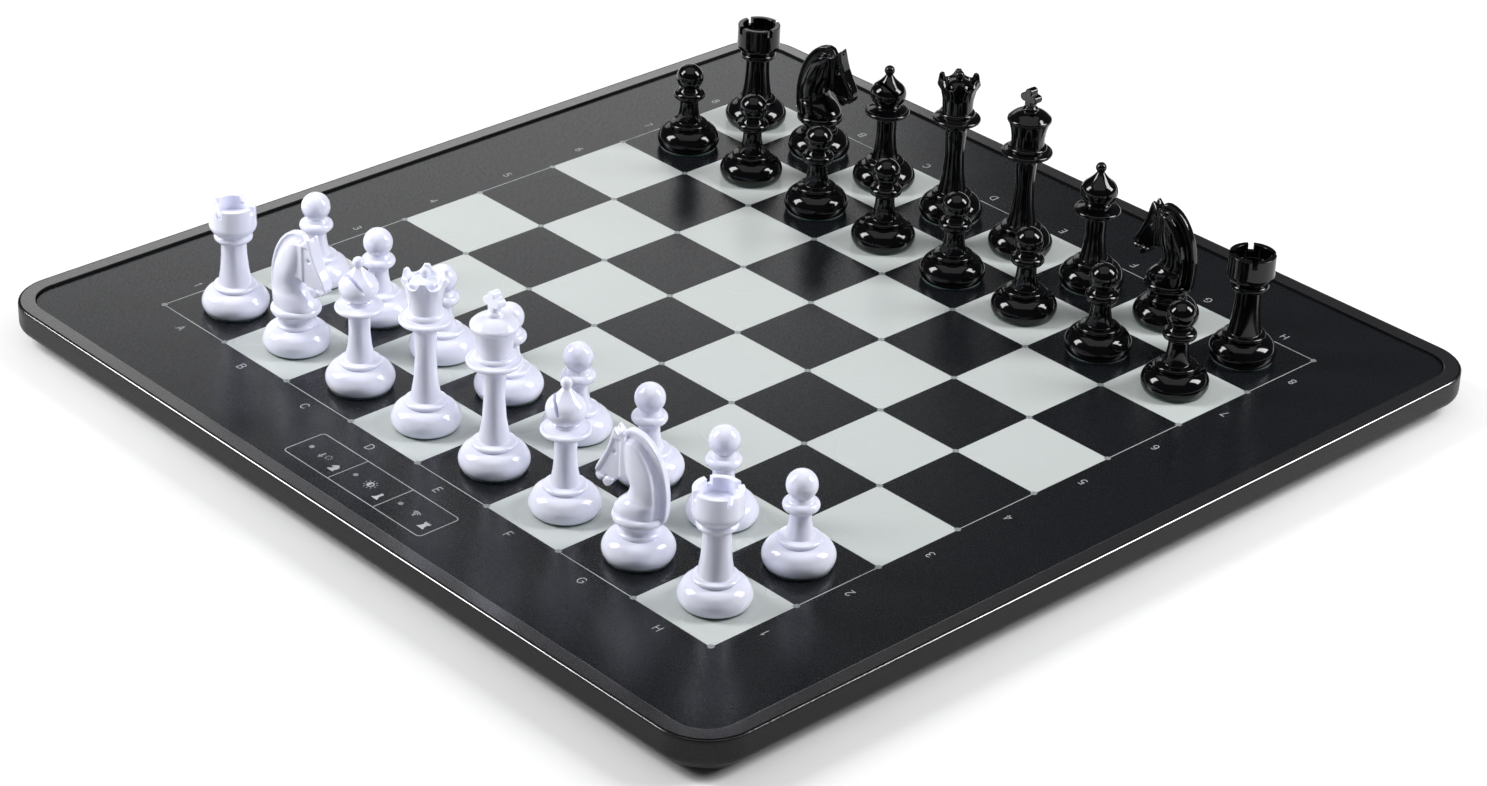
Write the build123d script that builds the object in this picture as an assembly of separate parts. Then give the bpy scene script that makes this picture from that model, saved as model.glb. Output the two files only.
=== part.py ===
from build123d import *
import os
from math import sqrt

# Electronic chess computer: a flat sensing board with a set of 32 weighted pieces.
# Millimetres. Origin: centre of the board, on the surface that its feet stand on. +Z is up,
# +X runs from the A file to the H file, +Y runs from the first rank to the eighth.

# ---- driving dimensions -------------------------------------------------------------------
SQUARE = 40.0                   # one square of the field
RANKS = 8
FIELD = SQUARE * RANKS          # 320, the playing field
FRAME = 414.0                   # outside of the square frame
FRAME_CORNER = 21.0             # its outer corner radius
TOP = 17.0                      # top of the frame's rim, above the table
RIM = 7.0                       # width of the rim seen from above
PANEL_TOP = 16.0                # playing surface
OVERLAY = 0.4                   # charcoal overlay on the translucent plate
PLATE = 1.2                     # translucent plate below the overlay
LEDGE = 2.0                     # thickness of the ledge that carries the plate
LEDGE_WIDTH = 6.0
WALL = 2.6                      # frame wall
FRAME_BOTTOM = 5.0              # lower edge of the frame
HOUSING_BOTTOM = 2.0
FLOOR = 2.0                     # thickness of the lower housing's floor
FIT = 0.3                       # gap between mouldings
DOT_R = 1.3                     # light dot at each corner of the grid
CONTROL_X = 0.9                 # centre of the control panel along the front margin
CONTROL_Y = -182.6
CONTROL_PITCH = 26.4            # one touch cell
LIFT_GAP = 0.05                 # a piece stands this much clear of the surface in the model

PLATE_TOP = PANEL_TOP - OVERLAY
PLATE_BOTTOM = PLATE_TOP - PLATE
LEDGE_BOTTOM = PLATE_BOTTOM - LEDGE
INNER = FRAME - 2 * RIM         # opening inside the rim
CAVITY = FRAME - 2 * WALL       # inside of the frame's wall
HOUSING = CAVITY - 2 * FIT      # outside of the housing's wall
HOUSING_WALL = 2.0
HOUSING_WALL_TOP = 9.0
FLOOR_TOP = HOUSING_BOTTOM + FLOOR

# circuit boards
BOARD_T = 1.6
SENSOR_BOTTOM = 11.2
SENSOR_TOP = SENSOR_BOTTOM + BOARD_T
SENSOR_HALF = 166.0
MAIN_BOTTOM = 5.8
MAIN_TOP = MAIN_BOTTOM + BOARD_T
MAIN_MIN = (-201.6, 85.0)       # corner nearest the A file and the first rank
MAIN_SIZE = (80.0, 80.0)
CONTROL_BOARD_T = 1.2
CONTROL_BOARD_TOP = PLATE_BOTTOM - 0.15
LED_SIZE = (1.6, 0.8, 0.5)

SOCKET_Y = 120.0                # charging socket on the A-file edge
BUTTON_Y = 145.0                # power button beside it
BUTTON_Z = 9.0
BUTTON_TRAVEL = 0.8

FRAME_SCREW_IN = 197.0          # frame screws along the sides
FRAME_SCREW_SIDE = 65.0
FRAME_SCREW_CORNER = 193.0
POST_PLACES = (-140.0, -60.0, 60.0, 140.0)
MAIN_SCREWS = [(-190.0, 92.0), (-190.0, 158.0), (-128.0, 92.0), (-128.0, 158.0)]
FOOT_PLACES = [(-170.0, -170.0), (170.0, -170.0), (-170.0, 170.0), (170.0, 170.0), (0.0, 0.0)]
CLAMP_FEET = [(-51.0, 0.0), (51.0, 0.0)]

os.makedirs("parts", exist_ok=True)


# ---- helpers ------------------------------------------------------------------------------
def save(shape, node):
    """Writes one node's solids to its own file."""
    export_step(shape, f"parts/{node}.step")


def slab(width, depth, bottom, top, corner=0.0, centre=(0.0, 0.0)):
    """Flat plate between two heights, with rounded corners if asked for."""
    outline = RectangleRounded(width, depth, corner) if corner else Rectangle(width, depth)
    return Pos(centre[0], centre[1], bottom) * extrude(outline, top - bottom)


def disc(radius, bottom, top, centre=(0.0, 0.0)):
    """Upright cylinder between two heights."""
    return Pos(centre[0], centre[1], bottom) * extrude(Circle(radius), top - bottom)


def square_ring(outer, inner, bottom, top, corner):
    """Square frame; the inner corners follow the outer ones."""
    inner_corner = max(corner - (outer - inner) / 2, 0.5)
    return slab(outer, outer, bottom, top, corner) - slab(inner, inner, bottom - 1, top + 1, inner_corner)


def group(shapes):
    """Separate solids that share one node."""
    return Compound(children=list(shapes))


def grid_corners():
    """All 81 corners of the field's grid."""
    ticks = [(i - RANKS / 2) * SQUARE for i in range(RANKS + 1)]
    return [(x, y) for x in ticks for y in ticks]


def square_centre(file, rank):
    """Centre of a square; file and rank count from 0 at A1."""
    return (file - (RANKS - 1) / 2) * SQUARE, (rank - (RANKS - 1) / 2) * SQUARE


def squares(dark):
    """Centres of the 32 dark or light squares; A1 is dark."""
    wanted = 0 if dark else 1
    places = [(f, r) for f in range(RANKS) for r in range(RANKS) if (f + r) % 2 == wanted]
    return [square_centre(f, r) for f, r in places]


def frame_screw_places():
    """Corner and side screws that hold the frame to the housing."""
    corners = [(sx * FRAME_SCREW_CORNER, sy * FRAME_SCREW_CORNER) for sx in (-1, 1) for sy in (-1, 1)]
    sides = []
    for along in (-FRAME_SCREW_SIDE, FRAME_SCREW_SIDE):
        for edge in (-FRAME_SCREW_IN, FRAME_SCREW_IN):
            sides += [(edge, along), (along, edge)]
    return corners + sides


def control_cells():
    """Centres of the three touch cells."""
    return [(CONTROL_X + i * CONTROL_PITCH, CONTROL_Y) for i in (-1, 0, 1)]


def control_dots():
    """Light dots stand near the left end of each touch cell."""
    return [(x - 8.4, y) for x, y in control_cells()]


# ---- casing -------------------------------------------------------------------------------
SOCKET_SLOT = (8.0, 9.6, 3.9)   # the slots' length through the walls, width and height
SOCKET_Z = MAIN_TOP + 1.62
BUTTON_SLOT = (8.0, 8.6, 3.6)


def wall_slots():
    """Slots for the charging socket and the power button in the A-file edge."""
    x = -FRAME / 2 + WALL
    socket = Pos(x, SOCKET_Y, SOCKET_Z) * Box(*SOCKET_SLOT)
    socket = fillet(socket.edges().filter_by(Axis.X), 1.8)
    button = Pos(x, BUTTON_Y, BUTTON_Z) * Box(*BUTTON_SLOT)
    button = fillet(button.edges().filter_by(Axis.X), 1.5)
    return [socket, button]


def bezel_frame():
    """Satin frame: rim, outer wall, ledge for the plate and blind screw bosses."""
    body = slab(FRAME, FRAME, FRAME_BOTTOM, TOP, FRAME_CORNER)
    body = fillet(body.faces().sort_by(Axis.Z)[0].edges(), 3.5)
    body = fillet(body.faces().sort_by(Axis.Z)[-1].edges(), 0.6)
    body -= slab(INNER, INNER, PLATE_BOTTOM, TOP + 1, FRAME_CORNER - RIM)
    opening = INNER - 2 * LEDGE_WIDTH
    body -= slab(opening, opening, FRAME_BOTTOM - 1, TOP, FRAME_CORNER - RIM - 4)
    body -= slab(CAVITY, CAVITY, FRAME_BOTTOM - 1, LEDGE_BOTTOM, FRAME_CORNER - WALL)
    for place in frame_screw_places():
        body += disc(3.3, FRAME_BOTTOM + 0.4, LEDGE_BOTTOM + 0.1, place)
    for place in frame_screw_places():
        body -= disc(1.3, FRAME_BOTTOM, LEDGE_BOTTOM - 0.6, place)
    for slot in wall_slots():
        body -= slot
    return body


def lower_housing():
    """Bottom tray with a chamfered edge, posts, screw pads and stiffening ribs."""
    edge = FRAME_CORNER - WALL - FIT
    body = slab(HOUSING, HOUSING, HOUSING_BOTTOM, HOUSING_WALL_TOP, edge)
    body = chamfer(body.faces().sort_by(Axis.Z)[0].edges(), 2.4)
    inside = HOUSING - 2 * HOUSING_WALL
    body -= slab(inside, inside, FLOOR_TOP, TOP, edge - HOUSING_WALL)
    rib_top = FLOOR_TOP + 2.0
    for along in (-100.0, 100.0):
        body += slab(inside, 1.6, FLOOR_TOP - 0.1, rib_top - 0.6, centre=(0, along - 22))
    for across in (-100.0, 100.0):
        body += slab(1.6, 150.0, FLOOR_TOP - 0.1, rib_top, centre=(across, 0))
    for x in POST_PLACES:
        for y in POST_PLACES:
            body += disc(3.0, FLOOR_TOP - 0.1, MAIN_BOTTOM if on_main_board(x, y) else SENSOR_BOTTOM, (x, y))
    for place in MAIN_SCREWS:
        body += disc(2.6, FLOOR_TOP - 0.1, MAIN_BOTTOM, place)
    for place in CLAMP_FEET:
        body += disc(2.6, FLOOR_TOP - 0.1, FLOOR_TOP + 1.0, place)
    for place in frame_screw_places():
        body += disc(4.2, FLOOR_TOP - 0.1, FRAME_BOTTOM + 0.2, place)
    for place in sensor_posts():
        body -= disc(1.05, FLOOR_TOP + 1.0, SENSOR_BOTTOM + 1, place)
    for place in MAIN_SCREWS + CLAMP_FEET:
        body -= disc(1.05, HOUSING_BOTTOM + 0.8, MAIN_BOTTOM + 1, place)
    for place in frame_screw_places():
        body -= disc(1.7, HOUSING_BOTTOM - 1, TOP, place)
        body -= disc(3.0, HOUSING_BOTTOM - 1, HOUSING_BOTTOM + 1.9, place)
    for place in FOOT_PLACES:
        body -= disc(8.2, HOUSING_BOTTOM - 1, HOUSING_BOTTOM + 0.6, place)
    for slot in wall_slots():
        body -= slot
    return body


def on_main_board(x, y):
    """True over the main board, where no post can reach the sensor board."""
    inside_x = MAIN_MIN[0] - 4 < x < MAIN_MIN[0] + MAIN_SIZE[0] + 4
    inside_y = MAIN_MIN[1] - 4 < y < MAIN_MIN[1] + MAIN_SIZE[1] + 4
    return inside_x and inside_y


def sensor_posts():
    """Posts that hold the sensor board."""
    return [(x, y) for x in POST_PLACES for y in POST_PLACES if not on_main_board(x, y)]


def rubber_feet():
    """Five soft pads glued into shallow seats in the housing's underside."""
    feet = []
    for place in FOOT_PLACES:
        foot = disc(8.0, 0.0, HOUSING_BOTTOM + 0.6, place)
        feet.append(fillet(foot.faces().sort_by(Axis.Z)[0].edges(), 0.8))
    return group(feet)


# ---- playing surface ----------------------------------------------------------------------
LINE = 0.3                      # pale line round the field
JOINT = 0.04                    # gap between overlay and plate


def field_plate():
    """Translucent plate: its raised light squares and border line come through the overlay."""
    size = INNER - 2 * FIT
    corner = FRAME_CORNER - RIM - FIT
    plate = slab(size, size, PLATE_BOTTOM, PLATE_TOP, corner)
    for place in squares(dark=False):
        plate += slab(SQUARE, SQUARE, PLATE_TOP - 0.2, PANEL_TOP, centre=place)
    plate += square_ring(FIELD + 2 * LINE, FIELD, PLATE_TOP - 0.2, PANEL_TOP, 0.0)
    for place in grid_corners():
        plate -= disc(DOT_R, PLATE_BOTTOM - 1, PANEL_TOP + 1, place)
    for place in control_dots():
        plate -= disc(1.1, PLATE_BOTTOM - 1, PANEL_TOP + 1, place)
    return plate


def panel_overlay():
    """Charcoal overlay of the margins, with the opening for the field."""
    size = INNER - 2 * FIT
    corner = FRAME_CORNER - RIM - FIT
    opening = FIELD + 2 * LINE + 2 * JOINT
    sheet = slab(size, size, PLATE_TOP, PANEL_TOP, corner) - slab(opening, opening, PLATE_TOP - 1, TOP)
    for place in grid_corners():
        sheet -= disc(DOT_R, PLATE_TOP - 1, TOP, place)
    for place in control_dots():
        sheet -= disc(1.1, PLATE_TOP - 1, TOP, place)
    return sheet


def dark_squares():
    """Charcoal squares with their corners cut round the light dots."""
    tiles = []
    for x, y in squares(dark=True):
        tile = slab(SQUARE - 2 * JOINT, SQUARE - 2 * JOINT, PLATE_TOP, PANEL_TOP, centre=(x, y))
        for sx in (-0.5, 0.5):
            for sy in (-0.5, 0.5):
                tile -= disc(DOT_R, PLATE_TOP - 1, TOP, (x + sx * SQUARE, y + sy * SQUARE))
        tiles.append(tile)
    return group(tiles)


GUIDE_BOTTOM = SENSOR_TOP + 0.7


def field_light_guides():
    """One clear pin at each corner of the grid, from its light chip up to the surface."""
    return group(disc(DOT_R - 0.05, GUIDE_BOTTOM, PANEL_TOP, place) for place in grid_corners())


def control_light_guides():
    """Clear pins over the control panel's light chips."""
    return group(disc(1.05, CONTROL_BOARD_TOP + 0.6, PANEL_TOP, place) for place in control_dots())


def light_guide_grid():
    """Moulded grid that holds the pins and props the plate over the sensor board."""
    half = SENSOR_HALF - 2
    grid = slab(2 * half, 2 * half, SENSOR_TOP, PLATE_BOTTOM, 3.0)
    for f in range(RANKS):
        for r in range(RANKS):
            grid -= slab(31.0, 31.0, SENSOR_TOP - 1, TOP, 2.0, square_centre(f, r))
    for place in grid_corners():
        grid -= disc(1.5, SENSOR_TOP - 1, TOP, place)
    return grid


# ---- electronics --------------------------------------------------------------------------
def sensor_board():
    """Large circuit board under the field, screwed to the posts."""
    board = slab(2 * SENSOR_HALF, 2 * SENSOR_HALF, SENSOR_BOTTOM, SENSOR_TOP, 4.0)
    for place in sensor_posts():
        board -= disc(1.3, SENSOR_BOTTOM - 1, TOP, place)
    return board


def sensing_loops():
    """Eight row loops on the board's underside and eight column loops below them."""
    film = 0.15
    length = FIELD + 6.0
    width = SQUARE - 4.0
    track = 1.4
    loop = Rectangle(length, width) - Rectangle(length - 2 * track, width - 2 * track)
    loops = []
    for i in range(RANKS):
        middle = square_centre(i, i)[0]
        loops.append(Pos(0, middle, SENSOR_BOTTOM - film) * extrude(loop, film))
        turned_loop = Rot(0, 0, 90) * extrude(loop, film)
        loops.append(Pos(middle, 0, SENSOR_BOTTOM - 2.4 * film) * turned_loop)
    return group(loops)


def led_chips():
    """Light chips on the sensor board and on the control board."""
    field = [Pos(x, y, SENSOR_TOP + LED_SIZE[2] / 2) * Box(*LED_SIZE) for x, y in grid_corners()]
    z = CONTROL_BOARD_TOP + LED_SIZE[2] / 2
    control = [Pos(x, y, z) * Box(*LED_SIZE) for x, y in control_dots()]
    return group(field + control)


def control_board():
    """Touch board under the front margin."""
    bottom = CONTROL_BOARD_TOP - CONTROL_BOARD_T
    board = slab(86.0, 18.0, bottom, CONTROL_BOARD_TOP, 2.0, (CONTROL_X, CONTROL_Y + 0.6))
    return board


def touch_electrodes():
    """Two copper touch pads in each of the three cells."""
    pads = []
    for x, y in control_cells():
        for dx in (-1.4, 7.0):
            pads.append(slab(6.0, 9.0, CONTROL_BOARD_TOP, CONTROL_BOARD_TOP + 0.1, 1.0, (x + dx, y)))
    return group(pads)


def main_board():
    """Processor and power board at the A-file edge."""
    centre = (MAIN_MIN[0] + MAIN_SIZE[0] / 2, MAIN_MIN[1] + MAIN_SIZE[1] / 2)
    board = slab(*MAIN_SIZE, MAIN_BOTTOM, MAIN_TOP, 2.0, centre)
    for place in MAIN_SCREWS:
        board -= disc(1.3, MAIN_BOTTOM - 1, TOP, place)
    return board


def main_board_chips():
    """Processor, memory, charger, coil driver, inductor, capacitors and crystal."""
    parts = [
        ((-160.0, 128.0), (14.0, 14.0, 1.4)),
        ((-160.0, 108.0), (8.0, 6.0, 1.1)),
        ((-180.0, 106.0), (4.0, 4.0, 0.9)),
        ((-140.0, 112.0), (7.0, 7.0, 1.0)),
        ((-186.0, 100.0), (6.0, 6.0, 2.8)),
        ((-176.0, 98.0), (3.2, 2.5, 1.0)),
        ((-148.0, 142.0), (3.2, 1.5, 0.7)),
        ((-160.0, 142.0), (5.0, 4.0, 1.8)),
        ((-170.0, 118.0), (2.0, 1.2, 0.9)),
        ((-170.0, 124.0), (2.0, 1.2, 0.9)),
    ]
    return group(Pos(x, y, MAIN_TOP + size[2] / 2) * Box(*size) for (x, y), size in parts)


def wireless_module():
    """Radio module: small board with a shield can and its printed aerial."""
    board = slab(13.0, 18.0, MAIN_TOP, MAIN_TOP + 0.8, centre=(-132.0, 132.0))
    can = slab(11.0, 12.0, MAIN_TOP + 0.8, MAIN_TOP + 2.4, 0.6, (-132.0, 129.5))
    return board + can


def sounder():
    """Round sounder with its sound hole."""
    body = disc(6.0, MAIN_TOP, MAIN_TOP + 2.9, (-146.0, 155.0))
    return body - disc(1.0, MAIN_TOP + 1.5, TOP, (-146.0, 155.0))


BATTERY = (94.0, 74.0)
BATTERY_BOTTOM = FLOOR_TOP + 0.1
BATTERY_TOP = BATTERY_BOTTOM + 5.4


def battery_pack():
    """Flat pack of three pouch cells in one sleeve."""
    pack = slab(*BATTERY, BATTERY_BOTTOM, BATTERY_TOP, 4.0)
    return fillet(pack.edges().filter_by(GeomType.LINE).group_by(Axis.Z)[-1], 0.9)


def battery_clamp():
    """Bent steel strap over the battery, screwed down at both feet."""
    thick = 0.8
    seat = FLOOR_TOP + 1.0
    inside = BATTERY[0] / 2 + 0.2
    strap = slab(2 * (inside + thick), 12.0, BATTERY_TOP + 0.05, BATTERY_TOP + 0.05 + thick)
    for side in (-1, 1):
        strap += slab(thick, 12.0, seat, BATTERY_TOP + 0.2, centre=(side * (inside + thick / 2), 0))
        strap += slab(8.0, 12.0, seat, seat + thick, centre=(side * (inside + 4.0), 0))
    for place in CLAMP_FEET:
        strap -= disc(1.3, seat - 1, seat + 2, place)
    return strap


def tube_along(points, radii, radius):
    """Round lead along straight runs joined by tangent arcs."""
    path = FilletPolyline(*points, radius=radii)
    return sweep(Plane(path @ 0, z_dir=path % 0) * Circle(radius), path=path)


def battery_leads():
    """Positive and negative leads from the battery to the main board's connector."""
    leads = []
    for gap in (-1.2, 1.2):
        y = 28.0 + gap
        points = [
            (-47.2, y, 7.6),
            (-68.0, y, 7.6),
            (-88.0 - gap, 48.0, 7.6),
            (-112.0 - gap, 74.0, 8.4),
            (-112.0 - gap, 97.4, 9.2),
            (-118.8, 104.4 + gap, 9.2),
            (-128.0, 104.4 + gap, 9.2),
        ]
        leads.append(tube_along(points, [8.0, 8.0, 8.0, 4.0, 3.0], 0.7))
    return group(leads)


CABLE_T = 0.3


def flat_strip(points, radius, width, plane):
    """Flat flexible cable: a thin strip along straight runs with round bends."""
    path = FilletPolyline(*points, radius=radius)
    ribbon = trace(path, CABLE_T)
    return plane * extrude(ribbon, width / 2, both=True)


def flat_cables():
    """Flat cables from the sensor board to the main board and to the control board."""
    side = Plane(origin=(-150.0, 0.0, 0.0), x_dir=(0, 1, 0), z_dir=(1, 0, 0))
    main = flat_strip([(74.2, 9.9), (79.6, 9.9), (83.0, 8.2), (89.0, 8.2)], 1.2, 14.0, side)
    front = Plane(origin=(CONTROL_X, 0.0, 0.0), x_dir=(0, 1, 0), z_dir=(1, 0, 0))
    bottom = CONTROL_BOARD_TOP - CONTROL_BOARD_T
    points = [(-180.0, bottom - 0.2), (-175.0, bottom - 0.2), (-169.0, 9.9), (-158.1, 9.9)]
    control = flat_strip(points, 1.5, 10.0, front)
    return group([main, control])


def cable_connectors():
    """Sockets that the flat cables and the battery leads plug into."""
    places = [
        ((-150.0, 72.0), (16.0, 4.2), (9.2, SENSOR_BOTTOM - 0.4)),
        ((-150.0, 91.2), (16.0, 4.2), (MAIN_TOP, MAIN_TOP + 1.8)),
        ((CONTROL_X, -156.0), (12.0, 4.0), (9.2, SENSOR_BOTTOM - 0.4)),
        ((-130.9, 104.4), (5.6, 8.0), (MAIN_TOP, MAIN_TOP + 3.2)),
    ]
    return group(slab(*size, low, high, centre=centre) for centre, size, (low, high) in places)


def charging_socket():
    """Drawn steel socket shell with its tongue."""
    shell_x = -FRAME / 2 + 1.5
    depth = 7.35
    outer = Pos(shell_x, SOCKET_Y, SOCKET_Z) * Rot(0, 90, 0) * extrude(SlotOverall(8.94, 3.2, 90), depth)
    hollow = Pos(shell_x - 1, SOCKET_Y, SOCKET_Z) * Rot(0, 90, 0) * extrude(SlotOverall(8.34, 2.6, 90), depth)
    tongue = Pos(shell_x + depth / 2 + 0.4, SOCKET_Y, SOCKET_Z) * Box(depth - 0.8, 6.7, 0.7)
    return outer - hollow + tongue


def power_button():
    """Cap, retaining flange and nub that presses the switch; slides along X."""
    face = -FRAME / 2 + 0.2
    flange = -HOUSING / 2 + HOUSING_WALL + 0.1
    cap = Pos((face + flange) / 2, BUTTON_Y, BUTTON_Z) * Box(flange - face, 8.0, 3.0)
    cap = fillet(cap.edges().filter_by(Axis.X), 1.2)
    cap = fillet(cap.faces().sort_by(Axis.X)[0].edges(), 0.4)
    stop = Pos(flange + 0.4, BUTTON_Y, BUTTON_Z) * Box(0.8, 11.0, 4.4 - 1.4)
    nub = Pos(flange + 1.1, BUTTON_Y, BUTTON_Z) * Box(0.8, 2.4, 1.6)
    return cap + stop + nub


def power_switch():
    """Side-pressed switch on the main board; its inner dome returns the button."""
    flange = -HOUSING / 2 + HOUSING_WALL + 0.1
    front = flange + 1.5 + BUTTON_TRAVEL + 0.1
    body = Pos(front + 1.8, BUTTON_Y, (MAIN_TOP + MAIN_TOP + 3.4) / 2) * Box(3.6, 6.0, 3.4)
    return body


def screw(head_r, head_h, shank_r, length):
    """Pan-head screw that stands head down: head from 0, shank upward."""
    head = disc(head_r, 0, head_h)
    head = fillet(head.faces().sort_by(Axis.Z)[0].edges(), head_h * 0.45)
    shank = disc(shank_r, head_h - 0.1, head_h + length)
    cross = Rectangle(head_r * 1.1, head_r * 0.28) + Rectangle(head_r * 0.28, head_r * 1.1)
    return head + shank - extrude(cross, head_h * 0.5)


def housing_screws():
    """Twelve screws up through the housing into the frame's bosses."""
    one = screw(2.7, 1.5, 1.25, 6.0)
    return group(Pos(x, y, HOUSING_BOTTOM + 0.35) * one for x, y in frame_screw_places())


def board_screws():
    """Screws of the sensor board, the main board and the battery clamp, heads up."""
    one = Rot(180, 0, 0) * screw(2.2, 1.2, 1.0, 5.0)
    short = Rot(180, 0, 0) * screw(2.2, 1.2, 1.0, 3.4)
    sensor = [Pos(x, y, SENSOR_TOP + 1.2) * one for x, y in sensor_posts()]
    main = [Pos(x, y, MAIN_TOP + 1.2) * short for x, y in MAIN_SCREWS]
    clamp = [Pos(x, y, FLOOR_TOP + 1.8 + 1.2) * Rot(180, 0, 0) * screw(2.2, 1.2, 1.0, 2.8) for x, y in CLAMP_FEET]
    return group(sensor + main + clamp)


# ---- chess pieces -------------------------------------------------------------------------
# Each outline is drawn in radius and height above the square, and turned round the piece's axis.
FELT_T = 0.8
FELT_R = 12.1
HOLLOW_R = 8.6
HOLLOW_TOP = 6.6


class Outline:
    """Half outline of a turned shape, drawn from the axis outward and back to the axis."""

    def __init__(self, radius, height):
        self.point = (radius, height)
        self.edges = []

    def line(self, radius, height):
        self.edges.append(Line(self.point, (radius, height)))
        self.point = (radius, height)
        return self

    def arc(self, through, end):
        self.edges.append(ThreePointArc(self.point, through, end))
        self.point = end
        return self

    def ball(self, neck, radius, top):
        """Ends the outline with a ball on the axis, standing on a neck."""
        centre = top - radius
        self.line(neck, centre - sqrt(radius**2 - neck**2))
        return self.arc((radius, centre), (0.0, top))

    def turned(self):
        start = self.edges[0] @ 0
        closing = Line(self.point, (start.X, start.Y))
        face = make_face(self.edges + [closing])
        return revolve(Plane.XZ * face, Axis.Z)


def base(ring, foot):
    """The base that all pieces share: belly, shoulder and ring, up to the foot of the stem."""
    shape = Outline(0.0, FELT_T).line(12.3, FELT_T)
    shape.arc((13.35, 3.6), (12.6, 6.3))
    shape.arc((10.8, 8.6), (7.9, 9.7))
    shape.arc((ring, 10.7), (ring - 0.9, 11.5))
    return shape.line(foot, 11.9)


def pawn():
    shape = base(8.3, 5.5).arc((4.25, 16.5), (3.9, 21.3)).line(4.6, 22.3)
    shape.arc((6.75, 24.2), (4.9, 26.2))
    return shape.ball(3.9, 5.8, 38.0).turned()


def rook(turn):
    shape = base(8.6, 6.6).arc((5.4, 20.0), (5.0, 30.0)).line(6.4, 30.6)
    shape.arc((7.6, 31.9), (6.6, 33.3)).line(7.0, 34.0)
    shape.arc((8.8, 35.5), (9.2, 38.5)).line(9.2, 45.9).line(6.9, 45.9)
    tower = shape.line(6.7, 40.5).line(0.0, 40.5).turned()
    notch = Box(24.0, 2.3, 6.0)
    for quarter in (0, 90):
        tower -= Pos(0, 0, 45.9) * Rot(0, 0, turn + quarter) * notch
    return tower


def bishop(turn):
    shape = base(8.3, 5.7).arc((4.3, 20.0), (4.2, 29.0)).arc((4.7, 31.0), (5.9, 31.9)).line(8.2, 32.6)
    shape.arc((9.4, 33.5), (8.2, 34.5)).line(5.2, 35.6).arc((5.3, 36.4), (4.9, 37.0))
    shape.arc((7.6, 42.0), (5.6, 46.0)).arc((2.6, 48.9), (1.5, 50.4))
    mitre = shape.ball(1.5, 2.2, 54.5).turned()
    cut = Pos(3.75, 0.0, 46.3) * Rot(0, 21.4, 0) * Box(1.3, 20.0, 9.2)
    return mitre - Rot(0, 0, turn) * cut


def queen(turn):
    shape = base(8.4, 5.9).arc((4.35, 22.0), (4.4, 38.5)).arc((4.9, 41.7), (6.5, 43.0)).line(8.9, 43.9)
    shape.arc((10.0, 44.8), (8.9, 45.8)).line(7.3, 46.6).arc((7.5, 47.7), (6.3, 48.6))
    shape.arc((6.7, 55.0), (9.0, 63.4)).line(7.6, 63.4).line(6.3, 59.0)
    shape.arc((4.6, 61.2), (1.4, 62.4))
    crown = shape.ball(1.4, 2.0, 66.2).turned()
    points = 6
    for i in range(points):
        angle = turn + 360 / points * (i + 0.5)
        crown -= Rot(0, 0, angle) * Pos(8.5, 0, 64.2) * Rot(0, 90, 0) * Cylinder(3.9, 4.6)
    return crown


def king():
    shape = base(8.5, 6.0).arc((4.35, 22.0), (4.4, 39.0)).arc((4.9, 41.5), (6.5, 42.8)).line(9.3, 43.6)
    shape.arc((10.5, 44.5), (9.3, 45.4)).line(7.8, 45.9).arc((8.0, 46.9), (6.8, 47.6))
    shape.arc((7.1, 53.0), (8.4, 58.0)).arc((9.1, 59.0), (8.5, 60.2)).arc((6.0, 62.2), (3.4, 63.0))
    crown = shape.line(3.0, 64.4).line(1.6, 65.0).line(0.0, 65.0).turned()
    arm = Pos(0, 0, 68.7) * Rot(0, 90, 0) * Cylinder(2.0, 8.4)
    stem = Pos(0, 0, 68.4) * Cylinder(2.0, 9.0)
    return crown + arm + stem


def knight(turn):
    """Turned base and plinth with a horse's head and neck; the head faces +X before the turn."""
    shape = Outline(0.0, FELT_T).line(12.3, FELT_T)
    shape.arc((13.35, 3.6), (12.6, 6.3)).arc((10.8, 8.6), (7.9, 9.7))
    shape.arc((8.0, 10.5), (7.2, 11.3)).arc((6.9, 12.8), (7.6, 14.2)).line(8.9, 15.2)
    stand = shape.arc((9.9, 16.8), (9.1, 18.4)).line(0.0, 18.4).turned()
    front = [(-8.0, 16.0), (8.0, 16.0), (6.6, 24.0), (5.0, 52.0), (-5.0, 52.0), (-6.6, 24.0)]
    outline = [
        Line((-8.6, 16.5), (9.2, 16.5)),
        ThreePointArc((9.2, 16.5), (8.8, 21.0), (4.0, 26.2)),
        Line((4.0, 26.2), (3.0, 29.0)),
        Line((3.0, 29.0), (5.0, 32.0)),
        Line((5.0, 32.0), (8.4, 29.6)),
        ThreePointArc((8.4, 29.6), (11.2, 25.6), (13.8, 26.2)),
        ThreePointArc((13.8, 26.2), (17.0, 28.4), (17.2, 31.5)),
        Line((17.2, 31.5), (12.3, 41.3)),
        Line((12.3, 41.3), (11.0, 45.2)),
        Line((11.0, 45.2), (9.7, 50.4)),
        Line((9.7, 50.4), (6.4, 48.0)),
        Line((6.4, 48.0), (4.2, 50.5)),
        ThreePointArc((4.2, 50.5), (-6.6, 44.6), (-11.7, 28.0)),
        ThreePointArc((-11.7, 28.0), (-11.4, 21.0), (-8.6, 16.5)),
    ]
    side = Plane.XZ * extrude(make_face(outline), 12.0, both=True)
    head = side & (Plane.YZ * extrude(make_face(Polyline(*front, close=True)), 20.0, both=True))
    return Rot(0, 0, turn) * (stand + head)


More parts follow.
